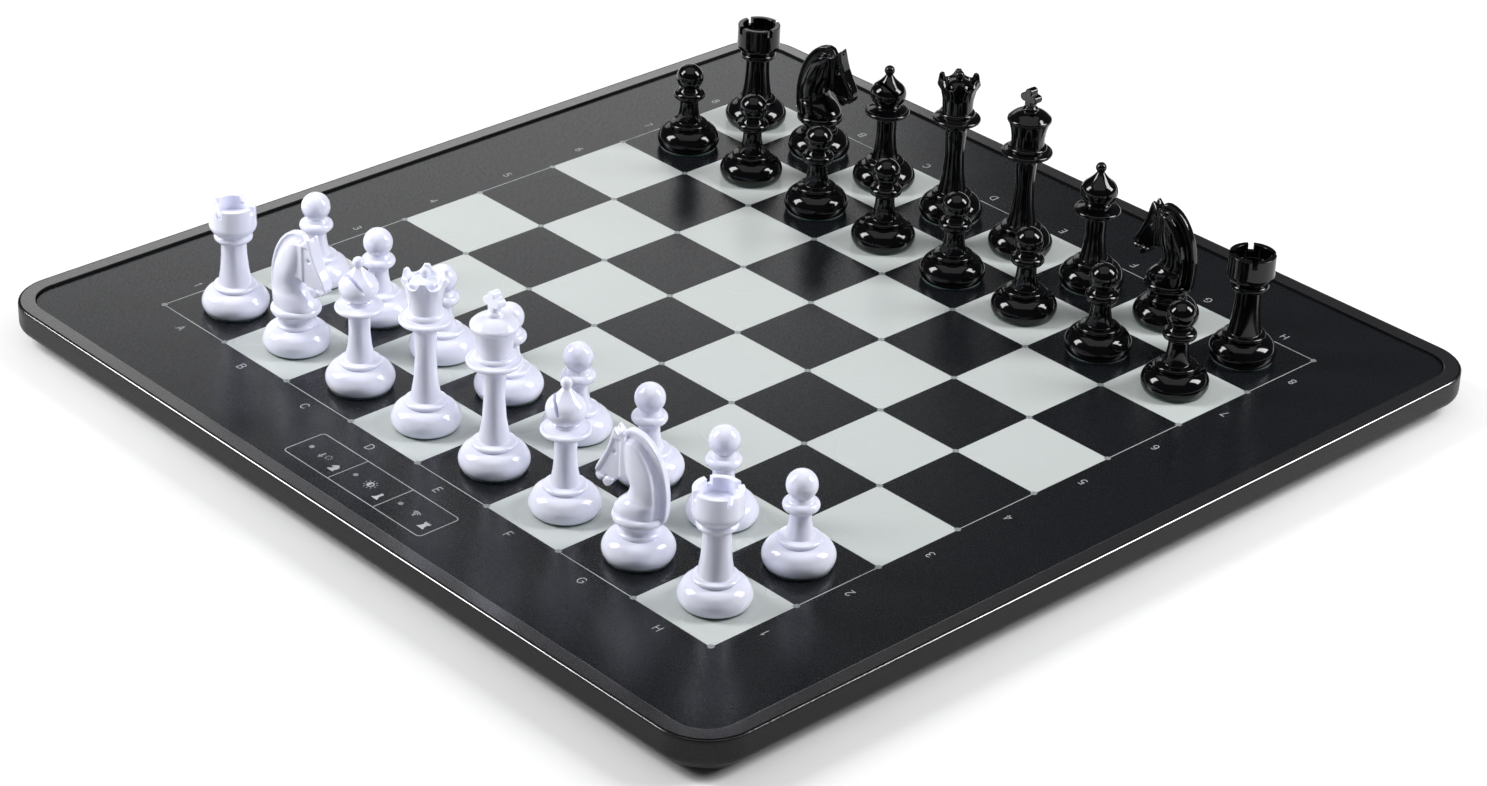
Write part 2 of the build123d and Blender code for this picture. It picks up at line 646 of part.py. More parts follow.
def weighted(outside):
    """Moulded shell with its weight, resonant coil and felt pad as separate solids."""
    shell = outside - disc(HOLLOW_R, 0.0, HOLLOW_TOP)
    coil = disc(8.4, FELT_T + 0.1, 3.4) - disc(5.6, 0.0, 4.0)
    weight = disc(8.4, 3.6, HOLLOW_TOP - 0.1)
    felt = disc(FELT_R, 0.0, FELT_T)
    return [shell, coil, weight, felt]


FILES = "abcdefgh"
BACK_RANK = ["rook", "knight", "bishop", "queen", "king", "bishop", "knight", "rook"]
# Turn of each piece that isn't round about its own axis, in degrees.
ROOK_TURNS = {"a1": 20.0, "h1": 74.0, "a8": 78.0, "h8": 46.0}
BISHOP_TURNS = {"c1": 262.0, "f1": 225.0, "c8": 270.0, "f8": 100.0}
QUEEN_TURN = 16.0
KNIGHT_TURNS = {"b1": 10.0, "g1": 198.0, "b8": 15.0, "g8": 186.0}


def outside_of(kind, square):
    """Outer shape of one piece, standing on the square's origin."""
    if kind == "rook":
        return rook(ROOK_TURNS[square])
    if kind == "knight":
        return knight(KNIGHT_TURNS[square])
    if kind == "bishop":
        return bishop(BISHOP_TURNS[square])
    if kind == "queen":
        return queen(QUEEN_TURN)
    return pawn() if kind == "pawn" else king()


def chess_set():
    """Yields each piece's node name and its solids, standing on its starting square."""
    places = []
    for file, kind in enumerate(BACK_RANK):
        places.append(("white", kind, file, 0))
        places.append(("white", "pawn", file, 1))
        places.append(("black", "pawn", file, RANKS - 2))
        places.append(("black", kind, file, RANKS - 1))
    for colour, kind, file, rank in places:
        square = f"{FILES[file]}{rank + 1}"
        x, y = square_centre(file, rank)
        stand = Pos(x, y, PANEL_TOP + LIFT_GAP)
        solids = [stand * solid for solid in weighted(outside_of(kind, square))]
        yield f"{colour}_{kind}_{square}", group(solids)


# ---- write every node ---------------------------------------------------------------------
BOARD_NODES = [
    bezel_frame, lower_housing, rubber_feet, field_plate, panel_overlay, dark_squares,
    field_light_guides, control_light_guides, light_guide_grid, sensor_board, sensing_loops,
    led_chips, control_board, touch_electrodes, main_board, main_board_chips, wireless_module,
    sounder, battery_pack, battery_clamp, battery_leads, flat_cables, cable_connectors,
    charging_socket, power_button, power_switch, housing_screws, board_screws,
]

for make in BOARD_NODES:
    save(make(), make.__name__)
for node, solids in chess_set():
    save(solids, node)
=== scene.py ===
"""Looks for the electronic chess computer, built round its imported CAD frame."""

import math

import bmesh
import bpy
from mathutils import Matrix, Vector


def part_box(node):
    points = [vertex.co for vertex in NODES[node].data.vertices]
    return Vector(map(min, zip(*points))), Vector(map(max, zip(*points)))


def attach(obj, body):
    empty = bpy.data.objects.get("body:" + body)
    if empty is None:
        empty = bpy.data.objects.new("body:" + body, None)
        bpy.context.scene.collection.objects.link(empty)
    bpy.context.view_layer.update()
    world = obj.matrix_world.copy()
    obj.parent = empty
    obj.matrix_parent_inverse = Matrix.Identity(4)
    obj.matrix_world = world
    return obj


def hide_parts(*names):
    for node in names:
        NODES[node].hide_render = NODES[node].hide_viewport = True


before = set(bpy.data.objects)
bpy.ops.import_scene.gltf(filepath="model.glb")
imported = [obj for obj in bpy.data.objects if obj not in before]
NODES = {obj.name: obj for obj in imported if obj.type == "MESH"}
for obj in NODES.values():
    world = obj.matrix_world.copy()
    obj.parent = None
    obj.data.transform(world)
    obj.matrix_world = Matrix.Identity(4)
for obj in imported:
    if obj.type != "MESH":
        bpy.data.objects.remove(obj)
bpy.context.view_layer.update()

MM = 0.001
PANEL_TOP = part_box("dark_squares")[1].z
FIELD = (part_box("dark_squares")[1].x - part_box("dark_squares")[0].x) / MM
SQUARE = FIELD / 8
FRAME_LOW, FRAME_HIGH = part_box("bezel_frame")
FRAME_SIDE = (FRAME_HIGH.x - FRAME_LOW.x) / MM
FILES = "abcdefgh"


# ---------------------------------------------------------------- materials

NOISE_LOW, NOISE_HIGH = 0.35, 0.65      # most of a noise's values lie between these


class Finish:
    """A procedural material; noise scales are given as the size of a grain in millimetres."""

    def __init__(self, name, **values):
        self.material = bpy.data.materials.new(name)
        self.material.use_nodes = True
        self.tree = self.material.node_tree
        self.shader = self.tree.nodes["Principled BSDF"]
        self.place = self.tree.nodes.new("ShaderNodeTexCoord").outputs["Object"]
        for socket, value in values.items():
            self.shader.inputs[socket.replace("_", " ")].default_value = value

    def stretched(self, scale):
        """Coordinates squeezed along each axis, for brushed or drawn surfaces."""
        mapping = self.tree.nodes.new("ShaderNodeMapping")
        mapping.inputs["Scale"].default_value = scale
        self.tree.links.new(self.place, mapping.inputs["Vector"])
        return mapping.outputs["Vector"]

    def noise(self, grain, detail=2.0, place=None):
        """Noise with grains of a size in millimetres."""
        node = self.tree.nodes.new("ShaderNodeTexNoise")
        node.inputs["Scale"].default_value = 1 / (grain * MM)
        node.inputs["Detail"].default_value = detail
        self.tree.links.new(place or self.place, node.inputs["Vector"])
        return node.outputs["Fac"]

    def between(self, source, low, high, start=NOISE_LOW, end=NOISE_HIGH):
        """Maps a number that runs from start to end, as most noises do, to one from low to high."""
        node = self.tree.nodes.new("ShaderNodeMapRange")
        node.inputs["From Min"].default_value = start
        node.inputs["From Max"].default_value = end
        node.inputs["To Min"].default_value = low
        node.inputs["To Max"].default_value = high
        self.tree.links.new(source, node.inputs["Value"])
        return node.outputs["Result"]

    def colour(self, grain, dark, pale, detail=3.0, place=None):
        """Base colour that drifts between two shades."""
        ramp = self.tree.nodes.new("ShaderNodeValToRGB")
        for stop, position, shade in zip(ramp.color_ramp.elements, (NOISE_LOW, NOISE_HIGH), (dark, pale)):
            stop.position = position
            stop.color = (*shade, 1.0)
        self.tree.links.new(self.noise(grain, detail, place), ramp.inputs["Fac"])
        self.tree.links.new(ramp.outputs["Color"], self.shader.inputs["Base Color"])
        return self

    def rough(self, grain, low, high, detail=2.0, place=None):
        """Roughness that drifts between two values."""
        source = self.between(self.noise(grain, detail, place), low, high)
        self.tree.links.new(source, self.shader.inputs["Roughness"])
        return self

    def bumps(self, *layers):
        """Fine relief: (grain, depth in millimetres) layers, one on top of the other."""
        normal = None
        for grain, depth, *rest in layers:
            node = self.tree.nodes.new("ShaderNodeBump")
            node.inputs["Distance"].default_value = depth * MM
            source = self.noise(grain, 2.0, rest[0] if rest else None)
            self.tree.links.new(source, node.inputs["Height"])
            if normal:
                self.tree.links.new(normal, node.inputs["Normal"])
            normal = node.outputs["Normal"]
        self.tree.links.new(normal, self.shader.inputs["Normal"])
        return self


def piece_white():
    """Glossy white moulding with a lavender tinge, slightly translucent."""
    finish = Finish("piece_white", Subsurface_Weight=0.15, Subsurface_Scale=0.002, IOR=1.55)
    finish.shader.inputs["Subsurface Radius"].default_value = (0.9, 0.9, 1.3)
    finish.colour(9.0, (0.790, 0.805, 0.950), (0.820, 0.832, 0.965))
    return finish.rough(4.0, 0.10, 0.16).bumps((3.0, 0.012), (0.35, 0.002)).material


def piece_black():
    """Black moulding with a high gloss."""
    finish = Finish("piece_black", IOR=1.42)
    finish.colour(9.0, (0.0008, 0.0008, 0.0012), (0.0020, 0.0020, 0.0026))
    return finish.rough(4.0, 0.07, 0.11).bumps((3.0, 0.006), (0.35, 0.001)).material


def felt_teal():
    """Matt felt with a soft sheen."""
    finish = Finish("felt_teal", Sheen_Weight=0.5, Sheen_Roughness=0.5)
    finish.colour(0.35, (0.035, 0.075, 0.072), (0.075, 0.135, 0.128))
    return finish.rough(0.5, 0.85, 1.0).bumps((0.25, 0.10), (0.9, 0.08)).material


def charcoal_sheet():
    """Fine-grained satin film of the panel and the dark squares."""
    finish = Finish("charcoal_sheet", IOR=1.5)
    finish.colour(0.55, (0.0010, 0.0014, 0.0022), (0.0105, 0.0120, 0.0145), detail=4.0)
    return finish.rough(0.7, 0.18, 0.29).bumps((0.60, 0.018), (0.25, 0.009)).material


def pale_plate():
    """Translucent plate that shows as the light squares and the thin border line."""
    finish = Finish("pale_plate", IOR=1.5)
    finish.colour(40.0, (0.485, 0.518, 0.508), (0.495, 0.528, 0.520), detail=0.0)
    return finish.rough(20.0, 0.24, 0.28, detail=0.0).bumps((1.2, 0.003)).material


def frame_satin():
    """Satin grey moulding with a very fine grain."""
    finish = Finish("frame_satin", IOR=2.9)
    finish.colour(0.6, (0.003, 0.003, 0.004), (0.008, 0.008, 0.009), detail=4.0)
    return finish.rough(0.8, 0.22, 0.27).bumps((0.3, 0.005)).material


def frame_side():
    """The frame's side wall: the same moulding, finer and duller than the rim."""
    finish = Finish("frame_side", Specular_IOR_Level=0.22)
    finish.colour(0.6, (0.004, 0.004, 0.005), (0.013, 0.013, 0.015), detail=4.0)
    return finish.rough(0.8, 0.34, 0.46).bumps((0.4, 0.012)).material


def polished_edge():
    """Bright diamond-cut edge round the rim."""
    finish = Finish("polished_edge", Metallic=1.0)
    finish.colour(3.0, (0.12, 0.12, 0.122), (0.15, 0.15, 0.152))
    return finish.rough(1.5, 0.16, 0.26).bumps((0.5, 0.001)).material


def painted_groove_shade():
    """Matt black as painted shade in the grooves of the rim, in the bands beside its bright facet and on
    its inner wall.
    """
    finish = Finish("painted_groove_shade", Specular_IOR_Level=0.15)
    finish.colour(1.0, (0.001, 0.001, 0.001), (0.003, 0.003, 0.003))
    return finish.rough(1.0, 0.55, 0.7).bumps((0.3, 0.01)).material


def moulded(name, dark, pale, low=0.38, high=0.5, **values):
    """Plain moulded plastic with a light spark-eroded grain."""
    finish = Finish(name, **values).colour(2.5, dark, pale)
    return finish.rough(1.2, low, high).bumps((0.45, 0.02), (0.15, 0.008)).material


def metal(name, dark, pale, low=0.22, high=0.36):
    """Drawn or rolled metal, its grain finer along one axis."""
    finish = Finish(name, Metallic=1.0)
    along = finish.stretched((1.0, 1.0, 6.0))
    finish.colour(0.8, dark, pale, place=along)
    return finish.rough(0.6, low, high, place=along).bumps((0.4, 0.006, along)).material


def light_guide():
    """Clear moulded guide, milky from the plate around it."""
    finish = Finish("light_guide", Transmission_Weight=0.25, IOR=1.49)
    finish.colour(0.6, (0.26, 0.285, 0.29), (0.36, 0.385, 0.39))
    return finish.rough(0.6, 0.12, 0.22).bumps((0.5, 0.02)).material


def print_ink():
    """Pale grey printing ink."""
    finish = Finish("print_ink")
    finish.colour(0.25, (0.36, 0.38, 0.39), (0.50, 0.52, 0.53))
    return finish.rough(0.4, 0.42, 0.55).bumps((0.2, 0.01)).material


def studio_floor():
    """Pale floor, with a glow that grows where the softboxes no longer reach it, so it stays pale."""
    finish = Finish("studio_floor", Emission_Color=(0.97, 0.98, 1.0, 1.0))
    distance = finish.tree.nodes.new("ShaderNodeVectorMath")
    distance.operation = "LENGTH"
    finish.tree.links.new(finish.place, distance.inputs[0])
    glow = finish.between(distance.outputs["Value"], 0.0, 0.75, start=0.8, end=2.4)
    finish.tree.links.new(glow, finish.shader.inputs["Emission Strength"])
    finish.colour(160.0, (0.86, 0.86, 0.865), (0.89, 0.89, 0.89))
    return finish.rough(40.0, 0.75, 0.85).bumps((1.5, 0.02)).material


WHITE = piece_white()
BLACK = piece_black()
FELT = felt_teal()
SHEET = charcoal_sheet()
PLATE = pale_plate()
SATIN = frame_satin()
POLISHED = polished_edge()
# Painted shade for the rim's grooves, the bands beside its bright facet and its inner wall.
GROOVE_SHADE = painted_groove_shade()
SIDE = frame_side()
GUIDE = light_guide()
INK = print_ink()
CIRCUIT = moulded("solder_mask", (0.006, 0.055, 0.028), (0.010, 0.082, 0.042), 0.22, 0.32)
COPPER = metal("bare_copper", (0.72, 0.33, 0.17), (0.86, 0.45, 0.26))
STEEL = metal("plated_steel", (0.46, 0.46, 0.46), (0.62, 0.62, 0.61))
SPRING_STEEL = metal("clamp_steel", (0.38, 0.38, 0.385), (0.52, 0.52, 0.52), 0.30, 0.45)
TIN_CAN = metal("module_can", (0.60, 0.60, 0.585), (0.74, 0.74, 0.72), 0.30, 0.42)
DARK_CASE = moulded("housing_black", (0.011, 0.011, 0.012), (0.020, 0.020, 0.022))
CHIP = moulded("chip_black", (0.014, 0.014, 0.015), (0.026, 0.026, 0.027), 0.45, 0.6)
RUBBER = moulded("foot_rubber", (0.018, 0.018, 0.018), (0.034, 0.034, 0.034), 0.7, 0.85)
GRID = moulded("grid_white", (0.66, 0.66, 0.63), (0.76, 0.76, 0.73))
LED = moulded("led_body", (0.70, 0.68, 0.55), (0.82, 0.80, 0.68), 0.2, 0.3)
SLEEVE = moulded("battery_sleeve", (0.03, 0.10, 0.26), (0.05, 0.14, 0.34), 0.25, 0.35)
LEADS = moulded("lead_insulation", (0.36, 0.012, 0.010), (0.48, 0.020, 0.016), 0.3, 0.4)
FILM = moulded("cable_film", (0.42, 0.22, 0.045), (0.54, 0.30, 0.07), 0.2, 0.3)
CREAM = moulded("connector_cream", (0.64, 0.60, 0.48), (0.74, 0.70, 0.58))
BUTTON = moulded("button_grey", (0.05, 0.051, 0.054), (0.075, 0.076, 0.08), 0.3, 0.4)

CAD_FINISHES = {
    "lower_housing": DARK_CASE, "rubber_feet": RUBBER, "field_plate": PLATE,
    "panel_overlay": SHEET, "dark_squares": SHEET, "field_light_guides": GUIDE,
    "control_light_guides": GUIDE, "light_guide_grid": GRID, "sensor_board": CIRCUIT,
    "sensing_loops": COPPER, "led_chips": LED, "control_board": CIRCUIT,
    "touch_electrodes": COPPER, "main_board": CIRCUIT, "main_board_chips": CHIP,
    "wireless_module": TIN_CAN, "sounder": CHIP, "battery_pack": SLEEVE,
    "battery_clamp": SPRING_STEEL, "battery_leads": LEADS, "flat_cables": FILM,
    "cable_connectors": CREAM, "charging_socket": STEEL, "power_button": BUTTON,
    "power_switch": CHIP, "housing_screws": STEEL, "board_screws": STEEL,
}


# ---------------------------------------------------------------- mesh tools

def add_object(name, mesh, material):
    thing = bpy.data.objects.new(name, mesh)
    bpy.context.scene.collection.objects.link(thing)
    if not mesh.materials:
        mesh.materials.append(material)
    return thing


def finished(bm, name, angle=32.0):
    """Mesh from a bmesh: smooth shaded, with edges sharper than the angle kept crisp."""
    bmesh.ops.recalc_face_normals(bm, faces=bm.faces)
    for face in bm.faces:
        face.smooth = True
    for edge in bm.edges:
        if len(edge.link_faces) == 2:
            edge.smooth = edge.calc_face_angle() < math.radians(angle)
    mesh = bpy.data.meshes.new(name)
    bm.to_mesh(mesh)
    bm.free()
    return mesh


def modified(mesh, name, *settings):
    """The mesh with modifiers applied, each given as (type, {property: value})."""
    thing = bpy.data.objects.new(name, mesh)
    bpy.context.scene.collection.objects.link(thing)
    for kind, values in settings:
        modifier = thing.modifiers.new(kind, kind)
        for key, value in values.items():
            setattr(modifier, key, value)
    depsgraph = bpy.context.evaluated_depsgraph_get()
    result = bpy.data.meshes.new_from_object(thing.evaluated_get(depsgraph))
    bpy.data.objects.remove(thing)
    return result


def as_bmesh(mesh):
    bm = bmesh.new()
    bm.from_mesh(mesh)
    return bm


def add_box(bm, centre, size, lean=0.0, turn=0.0):
    """A block in millimetres, for use as a cutter: leant about Y, placed, then turned about Z."""
    scale = Matrix.Diagonal((*[s * MM for s in size], 1.0))
    leant = Matrix.Rotation(math.radians(lean), 4, "Y")
    turned = Matrix.Rotation(math.radians(turn), 4, "Z")
    place = Matrix.Translation(Vector(centre) * MM)
    bmesh.ops.create_cube(bm, size=1.0, matrix=turned @ place @ leant @ scale)


def join_loops(bm, low, high):
    """Faces between two closed loops of vertices."""
    count = len(low)
    faces = []
    for k in range(count):
        n = (k + 1) % count
        faces.append(bm.faces.new((low[k], low[n], high[n], high[k])))
    return faces


def close_solid(bm, near, far):
    """Walls between two loops of vertices, and a cap on each."""
    join_loops(bm, near, far)
    bm.faces.new(near)
    bm.faces.new(list(reversed(far)))


def edge_bevel(width, segments, angle):
    """Settings of a bevel on edges sharper than an angle, its width in millimetres."""
    return "BEVEL", {
        "width": width * MM, "segments": segments, "limit_method": "ANGLE",
        "angle_limit": math.radians(angle),
    }


def smoothing(passes):
    return "SMOOTH", {"factor": 0.5, "iterations": passes}


def one_skin(mesh, name, voxel, passes):
    """Overlapping solids joined under one smoothed skin; the voxel is in millimetres."""
    remesh = {"mode": "VOXEL", "voxel_size": voxel * MM}
    return modified(mesh, name, ("REMESH", remesh), smoothing(passes))


def cut_away(mesh, name, cutter_bm):
    """The mesh with the cutter taken out of it."""
    cutter_mesh = bpy.data.meshes.new(name + "_cutter")
    cutter_bm.to_mesh(cutter_mesh)
    cutter_bm.free()
    cutter = bpy.data.objects.new(name + "_cutter", cutter_mesh)
    bpy.context.scene.collection.objects.link(cutter)
    result = modified(mesh, name, ("BOOLEAN", {"operation": "DIFFERENCE", "object": cutter}))
    bpy.data.objects.remove(cutter)
    return result


def soften(points, reach, closed=False):
    """Rounds the corners of an outline by cutting back up to reach on either side."""
    nearly_straight, largest_share, steps = math.radians(18), 0.42, 4
    count = len(points)
    result = []
    for i, point in enumerate(points):
        corner = Vector(point)
        if not closed and i in (0, count - 1):
            result.append(corner)
            continue
        before = Vector(points[i - 1])
        after = Vector(points[(i + 1) % count])
        back = before - corner
        ahead = after - corner
        if back.length < 1e-6 or ahead.length < 1e-6:
            continue
        if back.angle(-ahead) < nearly_straight:
            result.append(corner)
            continue
        start = corner + back.normalized() * min(reach, back.length * largest_share)
        end = corner + ahead.normalized() * min(reach, ahead.length * largest_share)
        for k in range(steps + 1):
            t = k / steps
            result.append(start * (1 - t) ** 2 + corner * 2 * t * (1 - t) + end * t**2)
    return result


def rounded_rectangle(low, high, radius, steps):
    """Points round a rectangle between two opposite corners, its own corners rounded."""
    points = []
    for quarter in range(4):
        x, sx = (high[0], 1) if quarter in (0, 3) else (low[0], -1)
        y, sy = (high[1], 1) if quarter in (0, 1) else (low[1], -1)
        for k in range(steps + 1):
            angle = math.radians(90 * quarter + 90 * k / steps)
            points.append((
                x - sx * radius + radius * math.cos(angle), y - sy * radius + radius * math.sin(angle)
            ))
    return points


class Outline:
    """Half outline of a turned piece: radius and height in millimetres, from the axis outward."""

    def __init__(self, radius, height):
        self.points = [Vector((radius, height))]

    def line(self, radius, height):
        self.points.append(Vector((radius, height)))
        return self

    def arc(self, through, end):
        """Arc of a circle through two more points."""
        a, b, c = self.points[-1], Vector(through), Vector(end)
        d = 2 * (a.x * (b.y - c.y) + b.x * (c.y - a.y) + c.x * (a.y - b.y))
        aa, bb, cc = a.length_squared, b.length_squared, c.length_squared
        centre = Vector((
            (aa * (b.y - c.y) + bb * (c.y - a.y) + cc * (a.y - b.y)) / d,
            (aa * (c.x - b.x) + bb * (a.x - c.x) + cc * (b.x - a.x)) / d,
        ))
        start = a - centre
        middle = start.angle_signed(b - centre)
        whole = start.angle_signed(c - centre)
        if middle * whole < 0 or abs(middle) > abs(whole):
            whole -= math.copysign(2 * math.pi, whole)
        steps = max(3, math.ceil(abs(whole) / math.radians(9)))
        for k in range(1, steps + 1):
            turned = Matrix.Rotation(-whole * k / steps, 2) @ start
            self.points.append(centre + turned)
        return self

    def ball(self, neck, radius, top):
        """Ends the outline with a ball on the axis, standing on a neck."""
        centre = top - radius
        self.line(neck, centre - math.sqrt(radius**2 - neck**2))
        return self.arc((radius, centre), (0.0, top))


def lathe(outline, steps=80, reach=0.3):
    """Turns an outline about the Z axis into a closed bmesh."""
    bm = bmesh.new()
    rings = []
    for radius, height in soften(outline.points, reach):
        if radius < 1e-4:
            rings.append([bm.verts.new((0, 0, height * MM))])
            continue
        ring = []
        for k in range(steps):
            angle = 2 * math.pi * k / steps
            ring.append(bm.verts.new((
                radius * MM * math.cos(angle), radius * MM * math.sin(angle), height * MM
            )))
        rings.append(ring)
    for low, high in zip(rings, rings[1:]):
        for k in range(steps):
            n = (k + 1) % steps
            corners = [low[k % len(low)], low[n % len(low)], high[n % len(high)], high[k % len(high)]]
            face = list(dict.fromkeys(corners))
            if len(face) > 2:
                bm.faces.new(face)
    return bm


# ---------------------------------------------------------------- chess pieces

UNDERSIDE = 0.8         # height of the moulding's underside; the felt reaches 0.05 into it


def belly():
    """Start of every piece's outline: the underside, belly and shoulder of its base."""
    shape = Outline(0.0, UNDERSIDE).line(12.3, UNDERSIDE)
    return shape.arc((13.35, 3.6), (12.6, 6.3)).arc((10.8, 8.6), (7.9, 9.7))


def base(ring, foot):
    """The base of all but the knight, with the ring above its shoulder, up to the foot of the stem."""
    return belly().arc((ring, 10.7), (ring - 0.9, 11.5)).line(foot, 11.9)


def pawn_mesh():
    shape = base(8.3, 5.5).arc((4.25, 16.5), (3.9, 21.3)).line(4.6, 22.3)
    shape.arc((6.75, 24.2), (4.9, 26.2))
    return finished(lathe(shape.ball(3.9, 5.8, 38.0)), "pawn")


def rook_mesh():
    top = 45.9
    shape = base(8.6, 6.6).arc((5.4, 20.0), (5.0, 30.0)).line(6.4, 30.6)
    shape.arc((7.6, 31.9), (6.6, 33.3)).line(7.0, 34.0)
    shape.arc((8.8, 35.5), (9.2, 38.5)).line(9.2, top).line(6.9, top)
    tower = finished(lathe(shape.line(6.7, 40.5).line(0.0, 40.5)), "rook")
    for turn in (0.0, 90.0):
        notch = bmesh.new()
        add_box(notch, (0, 0, top), (24.0, 2.3, 6.0), turn=turn)
        tower = cut_away(tower, "rook", notch)
    return finished(as_bmesh(modified(tower, "rook", edge_bevel(0.22, 3, 40))), "rook", 40)


def bishop_mesh():
    shape = base(8.3, 5.7).arc((4.3, 20.0), (4.2, 29.0)).arc((4.7, 31.0), (5.9, 31.9)).line(8.2, 32.6)
    shape.arc((9.4, 33.5), (8.2, 34.5)).line(5.2, 35.6).arc((5.3, 36.4), (4.9, 37.0))
    shape.arc((7.6, 42.0), (5.6, 46.0)).arc((2.6, 48.9), (1.5, 50.4))
    mitre = finished(lathe(shape.ball(1.5, 2.2, 54.5)), "bishop")
    slit = bmesh.new()
    add_box(slit, (3.75, 0, 46.3), (1.3, 20.0, 9.2), lean=21.4)
    mitre = cut_away(mitre, "bishop", slit)
    return finished(as_bmesh(modified(mitre, "bishop", edge_bevel(0.15, 2, 40))), "bishop", 40)


def queen_mesh():
    """Queen whose flared crown is scalloped into points round a ball."""
    shape = base(8.4, 5.9).arc((4.35, 22.0), (4.4, 38.5)).arc((4.9, 41.7), (6.5, 43.0)).line(8.9, 43.9)
    shape.arc((10.0, 44.8), (8.9, 45.8)).line(7.3, 46.6).arc((7.5, 47.7), (6.3, 48.6))
    shape.arc((6.7, 55.0), (9.0, 63.4)).line(7.6, 63.4).line(6.3, 59.0)
    shape.arc((4.6, 61.2), (1.4, 62.4))
    bm = lathe(shape.ball(1.4, 2.0, 66.2), steps=120)
    points, deepest, scallop_width = 6, 3.1, 0.74
    crown_foot, crown_height, inner_radius = 57.0, 6.0, 6.2
    half = math.pi / points
    for vert in bm.verts:
        share = min(1.0, (vert.co.z / MM - crown_foot) / crown_height)
        if share <= 0 or vert.co.xy.length / MM < inner_radius:
            continue
        phase = (math.atan2(vert.co.y, vert.co.x) + 2 * math.pi) % (2 * half) - half
        across = min(1.0, abs(phase) / (scallop_width * half))
        vert.co.z -= deepest * (1 - across**2.4) ** 0.7 * share * MM
    return finished(bm, "queen", 50)


def cross_mesh():
    """Thick cross whose four arms end in round lobes."""
    reach, lobe, waist, thick, centre = 2.5, 1.75, 1.95, 4.0, 68.6
    bm = bmesh.new()
    sides = []
    for y in (-thick / 2, thick / 2):
        loop = []
        for turn in range(0, 360, 3):
            angle = math.radians(turn)
            off = math.radians((turn + 45) % 90 - 45)
            inside = lobe**2 - (reach * math.sin(off)) ** 2
            radius = max(waist, reach * math.cos(off) + math.sqrt(inside)) if inside > 0 else waist
            place = Vector((radius * math.cos(angle), y, centre + radius * math.sin(angle)))
            loop.append(bm.verts.new(place * MM))
        sides.append(loop)
    close_solid(bm, *sides)
    return one_skin(finished(bm, "cross"), "cross", 0.22, 9)


def king_mesh():
    shape = base(8.5, 6.0).arc((4.35, 22.0), (4.4, 39.0)).arc((4.9, 41.5), (6.5, 42.8)).line(9.3, 43.6)
    shape.arc((10.5, 44.5), (9.3, 45.4)).line(7.8, 45.9).arc((8.0, 46.9), (6.8, 47.6))
    shape.arc((7.1, 53.0), (8.4, 58.0)).arc((9.1, 59.0), (8.5, 60.2)).arc((6.0, 62.2), (3.4, 63.0))
    bm = lathe(shape.line(3.1, 64.2).line(2.2, 65.0).line(2.0, 66.5).line(0.0, 66.5))
    bm.from_mesh(cross_mesh())
    return finished(bm, "king")


# The knight's neck, level by level: height, back, front and half width.
NECK = [
    (15.6, -8.2, 8.4, 6.8), (16.8, -9.0, 9.2, 7.5), (19.4, -9.3, 9.3, 7.8), (21.6, -9.4, 8.0, 7.7),
    (23.6, -9.4, 5.9, 7.3), (24.8, -9.3, 4.7, 6.5), (26.4, -9.2, 3.8, 6.1), (29.0, -9.0, 3.0, 5.9),
    (32.0, -8.6, 3.8, 5.8), (35.4, -7.7, 4.8, 5.6), (39.0, -6.3, 5.4, 5.2), (42.8, -4.2, 5.8, 4.7),
    (45.8, -1.9, 5.8, 4.0), (47.6, -0.1, 5.2, 3.2), (48.6, 1.0, 4.4, 2.1), (49.0, 1.8, 3.6, 1.0),
]
# The mane's outer edge, from the plinth over the crest to between the ears.
MANE = [
    (-10.4, 16.4), (-11.4, 20.0), (-11.7, 26.0), (-11.3, 31.6), (-10.0, 37.2), (-7.9, 42.2),
    (-5.2, 46.1), (-2.4, 48.6), (0.6, 50.0), (3.4, 50.4), (5.6, 49.6), (6.9, 47.6),
]
# The grooves on either side of the mane, seen from the side.
MANE_GROOVE = [
    (-8.5, 17.4), (-9.1, 20.0), (-9.4, 26.0), (-8.9, 31.4), (-7.7, 36.5), (-5.8, 40.8), (-3.5, 44.2),
    (-0.9, 46.6), (1.6, 47.7), (3.4, 47.6),
]
# The head's outline from the side: brow, ear, nose, muzzle, mouth, jaw and the part inside the neck.
FACE = [
    (1.5, 45.0), (5.8, 46.8), (7.5, 47.6), (9.6, 50.4), (10.4, 47.8), (11.0, 45.2), (12.3, 41.3),
    (14.2, 37.4), (16.2, 33.8), (17.2, 31.4), (17.2, 29.6), (16.3, 27.9), (15.0, 27.0), (14.2, 27.9),
    (13.3, 26.2), (12.1, 25.5), (10.6, 26.4), (9.3, 28.6), (7.8, 30.3), (5.4, 31.6), (2.0, 32.6),
    (0.0, 40.0),
]
# The line of the mouth.
MOUTH = [(14.3, 27.6), (12.4, 29.6)]
# The raised border along the nose, beside which the cheek is set back.
NOSE_BORDER = [(10.2, 48.0), (11.0, 45.2), (12.3, 41.3), (14.2, 37.4), (17.0, 32.0)]
# The eye and the nostril: centre, radius and depth.
DENTS = (((9.4, 40.6), 0.9, 1.0), ((15.7, 31.0), 0.7, 0.5))


def smooth_curve(points, per_span):
    """Catmull-Rom points through the given ones."""
    padded = [Vector(p) for p in (points[0], *points, points[-1])]
    result = []
    for p, q, r, s in zip(padded, padded[1:], padded[2:], padded[3:]):
        slope = r - p
        bend = 2 * p - 5 * q + 4 * r - s
        twist = 3 * q - p - 3 * r + s
        for k in range(per_span):
            t = k / per_span
            result.append((2 * q + slope * t + bend * t**2 + twist * t**3) / 2)
    result.append(padded[-1])
    return result


